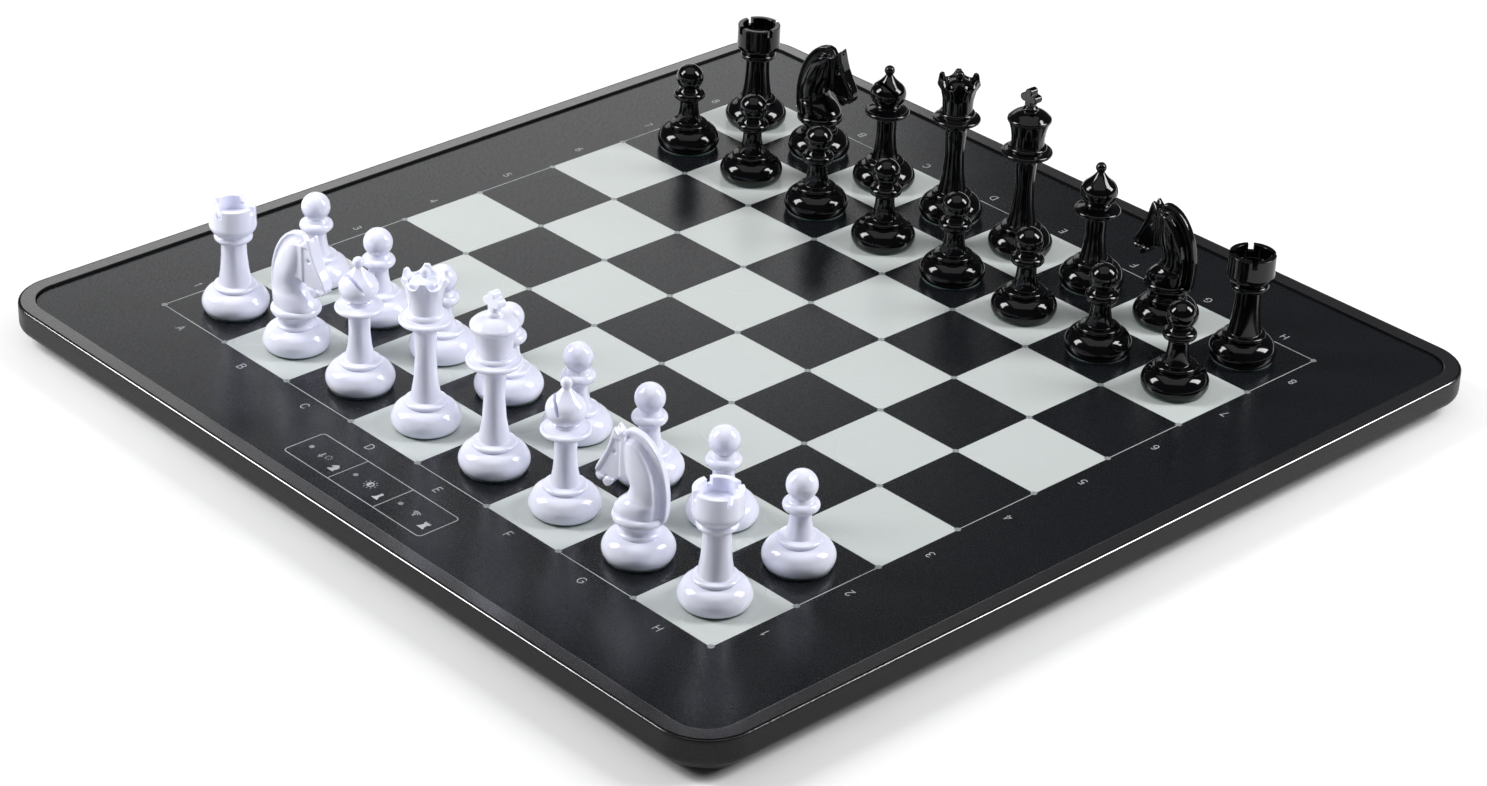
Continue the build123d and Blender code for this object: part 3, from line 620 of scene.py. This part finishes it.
def loft_neck():
    """Rounded neck and crest, from the plinth to the top of the mane."""
    bm = bmesh.new()
    around = 48
    rings = []
    for height, back, front, half in smooth_curve(NECK, 3):
        middle = (front + back) / 2
        reach = (front - back) / 2
        # The back of the neck turns from round to boxy just above the chest.
        square = min(0.95, max(0.5, 0.95 - 0.08 * (height - 22)))
        ring = []
        for k in range(around):
            angle = 2 * math.pi * k / around
            x = math.copysign(abs(math.cos(angle)) ** 0.9, math.cos(angle))
            y = math.copysign(abs(math.sin(angle)) ** (square if x < 0 else 0.9), math.sin(angle))
            ring.append(bm.verts.new(Vector((middle + reach * x, half * y, height)) * MM))
        rings.append(ring)
    for low, high in zip(rings, rings[1:]):
        join_loops(bm, low, high)
    bm.faces.new(list(reversed(rings[0])))
    bm.faces.new(rings[-1])
    return bm


def mane_fin():
    """Ridge that stands on the back of the neck, narrow and rounded on its edge."""
    bm = bmesh.new()
    inside_neck = [(3.0, 46.0), (-2.0, 40.0), (-5.0, 30.0), (-5.0, 16.4)]
    outline = [*smooth_curve(MANE, 4), *inside_neck]
    half = 1.65
    close_solid(bm, *(
        [bm.verts.new(Vector((x, y, z)) * MM) for x, z in outline] for y in (-half, half)
    ))
    return modified(finished(bm, "mane"), "mane", edge_bevel(0.8, 3, 60))


def face_plate():
    """Flat-sided head, a little narrower at the muzzle, with two ears."""
    half_width, taper, taper_start = 3.5, 0.07, 3.0
    bm = bmesh.new()
    sides = []
    for sign in (-1, 1):
        loop = []
        for x, z in soften(FACE, 0.8, closed=True):
            half = half_width - taper * max(0.0, x - taper_start)
            loop.append(bm.verts.new(Vector((x, sign * half, z)) * MM))
        sides.append(loop)
    close_solid(bm, *sides)
    return modified(finished(bm, "face"), "face", edge_bevel(0.75, 3, 50))


def near_path(x, z, path):
    """Distance from a point to a polyline in the XZ plane."""
    point = Vector((x, z))
    best = 1e9
    for a, b in zip(path, path[1:]):
        a = Vector(a)
        along = Vector(b) - a
        t = min(1.0, max(0.0, (point - a).dot(along) / along.length_squared))
        best = min(best, (point - a - along * t).length)
    return best


def carve(bm):
    """Grooves beside the mane, eyes, nostrils, mouth and set-back cheeks, pressed into the head."""
    groove_radius, groove_depth, ridge_half = 1.35, 2.4, 1.2
    mouth_radius, mouth_depth = 0.55, 0.5
    border_half, cheek_depth, cheek_slope = 1.1, 0.55, 0.5
    cheek_start, cheek_low, cheek_high, cheek_inner = 6.8, 29.4, 46.0, 1.6
    most_of_half_width = 0.6
    for vert in bm.verts:
        x, y, z = (c / MM for c in vert.co)
        thick = abs(y)
        depth = 0.0
        off = near_path(x, z, MANE_GROOVE) / groove_radius
        if off < 1 and thick > ridge_half:
            depth = min(groove_depth * (1 - off**2) ** 0.6, thick - ridge_half)
        for centre, radius, deepest in DENTS:
            off = (Vector((x, z)) - Vector(centre)).length / radius
            if off < 1:
                depth = deepest * (1 - off**2)
        off = near_path(x, z, MOUTH) / mouth_radius
        if off < 1:
            depth = mouth_depth * (1 - off**2)
        if x > cheek_start and cheek_low < z < cheek_high and thick > cheek_inner:
            inward = near_path(x, z, NOSE_BORDER) - border_half
            depth += cheek_depth * min(1.0, max(0.0, inward / cheek_slope))
        vert.co.y -= math.copysign(min(depth, thick * most_of_half_width), y) * MM


def knight_mesh():
    bm = loft_neck()
    bm.from_mesh(mane_fin())
    bm.from_mesh(face_plate())
    head = finished(bm, "head")
    ear_gap = bmesh.new()
    add_box(ear_gap, (9.6, 0.0, 50.2), (4.0, 1.4, 3.4))
    head = cut_away(head, "head", ear_gap)
    bm = as_bmesh(one_skin(head, "head", 0.34, 5))
    carve(bm)
    head = modified(finished(bm, "head"), "head", smoothing(2))
    stand = belly().arc((8.0, 10.5), (7.2, 11.3)).arc((6.9, 12.8), (7.6, 14.2)).line(8.9, 15.2)
    joined = lathe(stand.arc((9.9, 16.8), (9.1, 18.4)).line(0.0, 18.8))
    joined.from_mesh(head)
    return finished(joined, "knight", 45)


def felt_mesh():
    """Felt disc, a little wavy at its edge."""
    bm = lathe(Outline(0.0, 0.0).line(12.1, 0.0).line(12.1, 0.85).line(0.0, 0.85), 96, 0.25)
    for vert in bm.verts:
        angle = math.atan2(vert.co.y, vert.co.x)
        wave = math.sin(5 * angle + 0.6) + 0.6 * math.sin(13 * angle)
        vert.co.xy *= 1 + 0.004 * wave
    return finished(bm, "felt")


def centre_of(node):
    low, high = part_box(node)
    return (low + high) / 2


PIECE_MAKERS = {
    "pawn": pawn_mesh, "rook": rook_mesh, "knight": knight_mesh, "bishop": bishop_mesh,
    "queen": queen_mesh, "king": king_mesh,
}
# Turns about the vertical in degrees; a piece that isn't listed stands unturned.
TURNS = {
    "white_rook_a1": 20.0, "white_rook_h1": 74.0, "black_rook_a8": 78.0, "black_rook_h8": 46.0,
    "white_knight_b1": 10.0, "white_knight_g1": 198.0, "black_knight_b8": 15.0,
    "black_knight_g8": 186.0, "white_bishop_c1": 262.0, "white_bishop_f1": 225.0,
    "black_bishop_c8": 270.0, "black_bishop_f8": 100.0, "white_queen_d1": 16.0,
    "black_queen_d8": 16.0,
}


def make_chess_set():
    """Each piece and its felt, standing where its CAD node stands and riding on its body."""
    meshes = {kind: maker() for kind, maker in PIECE_MAKERS.items()}
    pad = felt_mesh()
    columns = {f: centre_of(f"white_pawn_{f}2").x for f in FILES}
    rows = {
        "1": centre_of("white_rook_a1").y, "2": centre_of("white_pawn_a2").y,
        "7": centre_of("black_pawn_a7").y, "8": centre_of("black_rook_a8").y,
    }
    coloured = {}
    for node in sorted(NODES):
        if not node.startswith(("white_", "black_")):
            continue
        colour, kind, square = node.split("_")
        if (colour, kind) not in coloured:
            mesh = meshes[kind].copy()
            mesh.name = f"{colour}_{kind}"
            mesh.materials.clear()
            mesh.materials.append(WHITE if colour == "white" else BLACK)
            coloured[colour, kind] = mesh
        figure = add_object(f"{node}_figure", coloured[colour, kind], None)
        figure.location = (columns[square[0]], rows[square[1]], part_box(node)[0].z)
        figure.rotation_euler.z = math.radians(TURNS.get(node, 0.0))
        foot = add_object(f"{node}_felt", pad, FELT)
        foot.location = figure.location
        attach(figure, node)
        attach(foot, node)
        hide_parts(node)


# ---------------------------------------------------------------- frame

CORNER = 21.0           # outer corner radius of the frame
BOTTOM_ROUND = 3.5      # radius of its rounded lower edge
RIM_FINISHES = [SATIN, POLISHED, GROOVE_SHADE, SIDE]
# The dark finish is painted shade, on the groove, the bands beside the bright facet and the rim's inner
# wall.
FLAT, BRIGHT, PAINTED_SHADE, WALL = range(4)     # what the finishes are used for, in the same order


def rim_section():
    """Closed section of the frame: distance in from the outer face, height, and finish index."""
    top = FRAME_HIGH.z / MM
    low = FRAME_LOW.z / MM
    plate_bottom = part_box("field_plate")[0].z / MM
    section = []
    steps = 9
    for k in range(steps + 1):
        angle = math.radians(75 * (1 - k / steps))
        inset = BOTTOM_ROUND * (1 - math.cos(angle))
        section.append((inset, low + BOTTOM_ROUND * (1 - math.sin(angle)), WALL))
    # Outer wall, bright facet and the groove beside it; the bands on either side of the facet and the
    # groove are painted dark as shade.
    section += [
        (0.0, top - 2.0, WALL), (0.0, top - 0.60, PAINTED_SHADE), (0.12, top - 0.44, BRIGHT),
        (0.36, top - 0.20, PAINTED_SHADE), (0.48, top - 0.10, PAINTED_SHADE), (0.64, top - 0.06, PAINTED_SHADE),
        (0.70, top - 0.12, PAINTED_SHADE), (0.76, top - 0.40, PAINTED_SHADE), (1.02, top - 0.40, PAINTED_SHADE),
        (1.04, top - 0.08, PAINTED_SHADE),
    ]
    # Flat top of the rim, with rings near its borders that keep its shading flat, and its inner edge,
    # painted dark as shade down the inner wall.
    section += [
        (1.12, top, FLAT), (1.3, top, FLAT), (6.5, top, FLAT), (6.6, top, FLAT),
        (6.80, top - 0.05, PAINTED_SHADE), (6.94, top - 0.16, PAINTED_SHADE), (7.0, top - 0.40, PAINTED_SHADE),
    ]
    # Ledge that carries the field plate, its upper face painted dark as shade.
    section += [
        (7.0, plate_bottom, PAINTED_SHADE), (13.0, plate_bottom, WALL), (13.0, plate_bottom - 2.0, WALL),
        (2.6, plate_bottom - 2.0, WALL),
    ]
    return section


def slot_cutter(node, clearance, corner):
    """Rounded cutter through the frame's wall round the part of a node that shows in it."""
    shown_depth = 2.5
    shown = [v.co for v in NODES[node].data.vertices if v.co.x < FRAME_LOW.x + shown_depth * MM]
    gap = clearance * MM
    low = (min(c.y for c in shown) - gap, min(c.z for c in shown) - gap)
    high = (max(c.y for c in shown) + gap, max(c.z for c in shown) + gap)
    outline = rounded_rectangle(low, high, corner * MM, 8)
    bm = bmesh.new()
    outside, inside = FRAME_LOW.x - 2 * MM, FRAME_LOW.x + 5 * MM
    close_solid(bm, *([bm.verts.new((x, y, z)) for y, z in outline] for x in (outside, inside)))
    bmesh.ops.recalc_face_normals(bm, faces=bm.faces)
    return bm


def make_frame():
    """The frame's section swept round a rounded square, with its two slots cut."""
    bm = bmesh.new()
    section = rim_section()
    rings = []
    for inset, height, _ in section:
        half = FRAME_SIDE / 2 - inset
        outline = rounded_rectangle((-half, -half), (half, half), CORNER - inset, 14)
        rings.append([bm.verts.new(Vector((x, y, height)) * MM) for x, y in outline])
    for low, high, (_, _, finish) in zip(rings, rings[1:] + rings[:1], section):
        for face in join_loops(bm, low, high):
            face.material_index = finish
    mesh = finished(bm, "frame_rim")
    for node, clearance, corner in (("charging_socket", 0.35, 1.7), ("power_button", 0.3, 1.5)):
        mesh = cut_away(mesh, "frame_rim", slot_cutter(node, clearance, corner))
    mesh = finished(as_bmesh(mesh), "frame_rim", 40)
    for material in RIM_FINISHES:
        mesh.materials.append(material)
    rim = add_object("frame_rim", mesh, SATIN)
    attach(rim, "board")
    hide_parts("bezel_frame")


# ---------------------------------------------------------------- printing

LINE = 0.34             # usual width of a printed stroke
INK_HEIGHT = 0.02       # the ink stands this much proud of the panel

BOWL = [(0.36, 1.0), (0.52, 0.93), (0.58, 0.77), (0.52, 0.61), (0.36, 0.54)]
ROUND = [(0.70, 0.80), (0.56, 0.94), (0.36, 1.0), (0.16, 0.92), (0.04, 0.72), (0.0, 0.5),
         (0.04, 0.28), (0.16, 0.08), (0.36, 0.0), (0.56, 0.06), (0.70, 0.20)]
GLYPHS = {
    "A": [[(0, 0), (0.35, 1), (0.70, 0)], [(0.12, 0.34), (0.58, 0.34)]],
    "B": [[(0.36, 0.54), (0, 0.54), (0, 1), *BOWL, (0.56, 0.45), (0.63, 0.27), (0.56, 0.08),
           (0.36, 0), (0, 0), (0, 0.54)]],
    "C": [ROUND],
    "D": [[(0, 0), (0, 1), (0.3, 1), (0.54, 0.9), (0.67, 0.7), (0.70, 0.5), (0.67, 0.3),
           (0.54, 0.1), (0.3, 0), (0, 0)]],
    "E": [[(0.52, 1), (0, 1), (0, 0), (0.54, 0)], [(0, 0.53), (0.46, 0.53)]],
    "F": [[(0.52, 1), (0, 1), (0, 0)], [(0, 0.5), (0.45, 0.5)]],
    "G": [[*ROUND, (0.70, 0.47), (0.42, 0.47)]],
    "H": [[(0, 0), (0, 1)], [(0.62, 0), (0.62, 1)], [(0, 0.52), (0.62, 0.52)]],
    "1": [[(0.05, 0.78), (0.28, 1), (0.28, 0)]],
    "2": [[(0.03, 0.75), (0.09, 0.91), (0.28, 1), (0.46, 0.92), (0.53, 0.74), (0.45, 0.54),
           (0.02, 0), (0.56, 0)]],
    "3": [[(0.03, 0.86), (0.14, 0.97), (0.28, 1), (0.44, 0.94), (0.51, 0.77), (0.44, 0.6),
           (0.24, 0.54), (0.46, 0.46), (0.55, 0.27), (0.46, 0.08), (0.26, 0), (0.1, 0.04), (0, 0.17)]],
    "4": [[(0.42, 0), (0.42, 1), (0, 0.3), (0.58, 0.3)]],
    "5": [[(0.5, 1), (0.1, 1), (0.05, 0.55), (0.25, 0.63), (0.46, 0.55), (0.55, 0.33),
           (0.46, 0.09), (0.25, 0), (0.08, 0.05), (0, 0.17)]],
    "6": [[(0.48, 0.9), (0.3, 1), (0.12, 0.88), (0.02, 0.6), (0.02, 0.3), (0.1, 0.08), (0.28, 0),
           (0.46, 0.08), (0.55, 0.31), (0.46, 0.53), (0.28, 0.61), (0.1, 0.52), (0.03, 0.36)]],
    "7": [[(0, 1), (0.54, 1), (0.2, 0)]],
    "8": [[(0.28, 0.54), (0.1, 0.63), (0.04, 0.78), (0.12, 0.94), (0.28, 1), (0.44, 0.94),
           (0.52, 0.78), (0.46, 0.63), (0.28, 0.54), (0.08, 0.45), (0, 0.27), (0.08, 0.07),
           (0.28, 0), (0.48, 0.07), (0.56, 0.27), (0.48, 0.45), (0.28, 0.54)]],
}
# Half outlines of the filled piece symbols, in parts of their height.
PAWN_SYMBOL = [(0.38, 0), (0.38, 0.10), (0.22, 0.24), (0.11, 0.55), (0.19, 0.62), (0.10, 0.68),
               (0.17, 0.80), (0.14, 0.93), (0.0, 1.0)]
ROOK_SYMBOL = [(0.40, 0), (0.40, 0.12), (0.26, 0.26), (0.20, 0.64), (0.34, 0.76), (0.34, 1.0),
               (0.20, 1.0), (0.20, 0.90), (0.07, 0.90), (0.07, 1.0), (0.0, 1.0)]
KNIGHT_SYMBOL = [(-0.38, 0), (0.38, 0), (0.38, 0.12), (0.28, 0.20), (0.40, 0.48), (0.34, 0.78),
                 (0.12, 0.98), (-0.08, 1.0), (-0.20, 0.84), (-0.40, 0.62), (-0.36, 0.50),
                 (-0.20, 0.52), (-0.02, 0.58), (-0.14, 0.36), (-0.26, 0.20), (-0.38, 0.12)]


class Print:
    """Thin inked shapes on the panel, gathered in one mesh; millimetres from the board's centre."""

    def __init__(self, name):
        self.name = name
        self.bm = bmesh.new()

    def prism(self, loop):
        """Solid a hair thick over a closed outline."""
        levels = (PANEL_TOP, PANEL_TOP + INK_HEIGHT * MM)
        close_solid(self.bm, *([self.bm.verts.new((x * MM, y * MM, z)) for x, y in loop] for z in levels))

    def stroke(self, points, width=LINE):
        """Ribbon along a line, mitred at its corners; a line that ends where it began is closed."""
        points = [Vector(p) for p in points]
        closed = (points[0] - points[-1]).length < 1e-6
        if closed:
            points = points[:-1]
        left, right = [], []
        count = len(points)
        for i, point in enumerate(points):
            before = points[i - 1] if closed or i > 0 else point
            after = points[(i + 1) % count] if closed or i < count - 1 else point
            leaving = (after - point).normalized()
            arriving = (point - before).normalized() if before is not point else leaving
            if after is point:
                leaving = arriving
            along = (arriving + leaving).normalized()
            normal = Vector((-along.y, along.x))
            spread = max(0.45, normal.dot(Vector((-leaving.y, leaving.x))))
            left.append(point + normal * width / 2 / spread)
            right.append(point - normal * width / 2 / spread)
        spans = count if closed else count - 1
        rows = []
        for a, b in zip(left, right):
            row = []
            for lift in (0.0, INK_HEIGHT * MM):
                row += [self.bm.verts.new((p.x * MM, p.y * MM, PANEL_TOP + lift)) for p in (a, b)]
            rows.append(row)
        for k in range(spans):
            a, b = rows[k], rows[(k + 1) % count]
            for i, j in ((2, 3), (1, 0), (0, 2), (3, 1)):
                self.bm.faces.new((a[i], a[j], b[j], b[i]))
        if not closed:
            self.bm.faces.new((rows[0][0], rows[0][1], rows[0][3], rows[0][2]))
            self.bm.faces.new((rows[-1][0], rows[-1][2], rows[-1][3], rows[-1][1]))

    def glyph(self, letter, x, y, height, upside_down=False):
        """A letter or number centred on a point."""
        strokes = GLYPHS[letter]
        width = max(p[0] for line in strokes for p in line)
        flip = -1 if upside_down else 1
        for line in strokes:
            self.stroke([
                (x + flip * (px - width / 2) * height, y + flip * (py - 0.5) * height) for px, py in line
            ])

    def symbol(self, outline, x, y, height, mirrored=True):
        """Filled shape standing on a point."""
        loop = list(outline)
        if mirrored:
            loop = loop + [(-px, py) for px, py in reversed(loop) if px > 0]
        self.prism([(x + px * height, y + py * height) for px, py in loop])

    def circle(self, x, y, radius, start=0.0, end=360.0, width=LINE):
        """Ring, or part of one between two angles in degrees."""
        steps = max(4, round((end - start) / 20))
        angles = [math.radians(start + (end - start) * k / steps) for k in range(steps + 1)]
        self.stroke([(x + radius * math.cos(a), y + radius * math.sin(a)) for a in angles], width)

    def rays(self, x, y, count, inner, outer):
        """Short strokes that point away from a centre."""
        for k in range(count):
            angle = 2 * math.pi * k / count
            along = Vector((math.cos(angle), math.sin(angle)))
            self.stroke([Vector((x, y)) + along * inner, Vector((x, y)) + along * outer], 0.3)

    def place(self):
        thing = add_object(self.name, finished(self.bm, self.name, 30), INK)
        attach(thing, "board")


def make_coordinates():
    """Letters along the first and last ranks and numbers up the sides, facing each player."""
    labels = Print("coordinate_labels")
    letter_y = FIELD / 2 + 6.4
    number_x = FIELD / 2 + 6.0
    size = 3.6
    for k, letter in enumerate(FILES.upper()):
        along = -FIELD / 2 + SQUARE * (k + 0.5)
        number = str(k + 1)
        labels.glyph(letter, along, -letter_y, size)
        labels.glyph(letter, along, letter_y, size, upside_down=True)
        labels.glyph(number, -number_x, along, size)
        labels.glyph(number, number_x, along, size, upside_down=True)
    labels.place()


GUIDE_RADIUS = 1.1      # of a light dot in the control panel
PANEL_HALF = 9.4        # half the height of the control panel's outline
PANEL_CORNER = 1.8
LEFT_OF_DOTS = 5.1      # from the first dot to the left end of the outline
RIGHT_OF_DOTS = 22.3    # from the last dot to its right end
PIECE_SYMBOL = 4.4      # height of the filled piece symbols
PIECE_RIGHT = 17.4      # from a dot to the middle of its piece symbol
PIECE_BELOW = 5.2       # from the middle of the panel down to the foot of the piece symbols


def make_control_print():
    """Outline, dividers and symbols of the three touch controls on the front margin."""
    low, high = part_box("control_light_guides")
    dots = [low.x / MM + GUIDE_RADIUS, (low.x + high.x) / 2 / MM, high.x / MM - GUIDE_RADIUS]
    middle_y = (low.y + high.y) / 2 / MM
    left, right = dots[0] - LEFT_OF_DOTS, dots[2] + RIGHT_OF_DOTS
    bottom, top = middle_y - PANEL_HALF, middle_y + PANEL_HALF
    art = Print("control_symbols")
    outline = rounded_rectangle((left, bottom), (right, top), PANEL_CORNER, 5)
    art.stroke([*outline, outline[0]])
    for k in (1, 2):
        x = left + (right - left) * k / 3
        art.stroke([(x, bottom), (x, top)])
    symbols = ((KNIGHT_SYMBOL, False), (PAWN_SYMBOL, True), (ROOK_SYMBOL, True))
    for dot, (shape, mirrored) in zip(dots, symbols):
        art.symbol(shape, dot + PIECE_RIGHT, middle_y - PIECE_BELOW, PIECE_SYMBOL, mirrored)
    level = middle_y - 0.2
    # Arrow and a small ring of rays for the first control.
    x = dots[0] + 7.2
    art.stroke([(x, level - 2.0), (x, level + 1.2)], 0.6)
    art.prism([(x - 1.1, level - 1.0), (x, level - 2.8), (x + 1.1, level - 1.0)])
    art.rays(x + 3.2, level, 8, 0.9, 1.6)
    # Half-filled sun for the second.
    x = dots[1] + 9.0
    art.circle(x, level, 1.3, width=0.5)
    left_half = [math.radians(a) for a in range(90, 271, 20)]
    art.prism([(x + 1.2 * math.cos(a), level + 1.2 * math.sin(a)) for a in left_half])
    art.rays(x, level, 10, 2.1, 2.8)
    # Plain radio waves for the third.
    x, y = dots[2] + 9.1, level - 1.4
    for radius in (0.9, 1.8, 2.7):
        art.circle(x, y, radius, 45, 135, 0.42)
    art.circle(x, y, 0.25, width=0.4)
    art.place()


# ---------------------------------------------------------------- studio

def direction(heading, elevation):
    """Unit vector at an angle from +X toward +Y and a height above the horizon, in degrees."""
    h, e = math.radians(heading), math.radians(elevation)
    return Vector((math.cos(h) * math.cos(e), math.sin(h) * math.cos(e), math.sin(e)))


# Heading and elevation in degrees, distance, width and height in metres, and radiance.
SOFTBOXES = {
    "overhead": (316, 84, 2.0, 2.4, 2.4, 0.70),
    "left_side": (224, 35, 1.4, 0.42, 0.80, 18.0),
    "right_side": (48, 35, 1.4, 0.42, 0.80, 18.0),
    "back_glow": (148, 21, 2.0, 1.10, 0.55, 1.20),
}


def softbox(name, heading, elevation, distance, width, height, radiance):
    """Rectangular studio light that faces the board."""
    target = Vector((0, 0, 0.02))
    light = bpy.data.lights.new(name, "AREA")
    light.shape = "RECTANGLE"
    light.size = width
    light.size_y = height
    light.energy = radiance * math.pi * width * height
    box = bpy.data.objects.new(name, light)
    bpy.context.scene.collection.objects.link(box)
    box.location = target + direction(heading, elevation) * distance
    box.rotation_euler = (target - box.location).to_track_quat("-Z", "Y").to_euler()


def make_studio():
    """Floor, softboxes and a dim surround."""
    bm = bmesh.new()
    bmesh.ops.create_grid(bm, x_segments=8, y_segments=8, size=6.0)
    floor = add_object("studio_floor", finished(bm, "studio_floor"), studio_floor())
    for name, values in SOFTBOXES.items():
        softbox(name, *values)
    world = bpy.data.worlds.new("studio")
    world.use_nodes = True
    background = world.node_tree.nodes["Background"]
    background.inputs["Color"].default_value = (0.95, 0.97, 1.0, 1.0)
    background.inputs["Strength"].default_value = 0.06
    bpy.context.scene.world = world
    bpy.context.scene.view_settings.view_transform = "Standard"


CAMERA_PLACE = Vector((0.9212, -0.8817, 0.6997))
CAMERA_HEADING, CAMERA_ELEVATION, CAMERA_ROLL = 136.108, -29.138, 2.265     # degrees
CAMERA_LENS = 89.03     # millimetres, on a sensor 36 mm wide


def make_camera():
    """Camera at the viewing angle of the reference: above the H1 corner, looking toward A8."""
    camera = bpy.data.cameras.new("camera")
    camera.sensor_width = 36.0
    camera.lens = CAMERA_LENS
    camera.clip_start = 0.05
    holder = bpy.data.objects.new("camera", camera)
    bpy.context.scene.collection.objects.link(holder)
    forward = direction(CAMERA_HEADING, CAMERA_ELEVATION)
    level = forward.cross(Vector((0, 0, 1))).normalized()
    upright = level.cross(forward)
    roll = math.radians(CAMERA_ROLL)
    right = level * math.cos(roll) + upright * math.sin(roll)
    up = upright * math.cos(roll) - level * math.sin(roll)
    turn = Matrix((right, up, -forward)).transposed().to_4x4()
    holder.matrix_world = Matrix.Translation(CAMERA_PLACE) @ turn
    bpy.context.scene.camera = holder


def finish_cad_nodes():
    """Gives each CAD node that stays its procedural finish."""
    for node, material in CAD_FINISHES.items():
        thing = NODES[node]
        for slot in thing.material_slots:
            slot.link = "OBJECT"
            slot.material = material


make_camera()
make_studio()
finish_cad_nodes()
make_frame()
make_coordinates()
make_control_print()
make_chess_set()
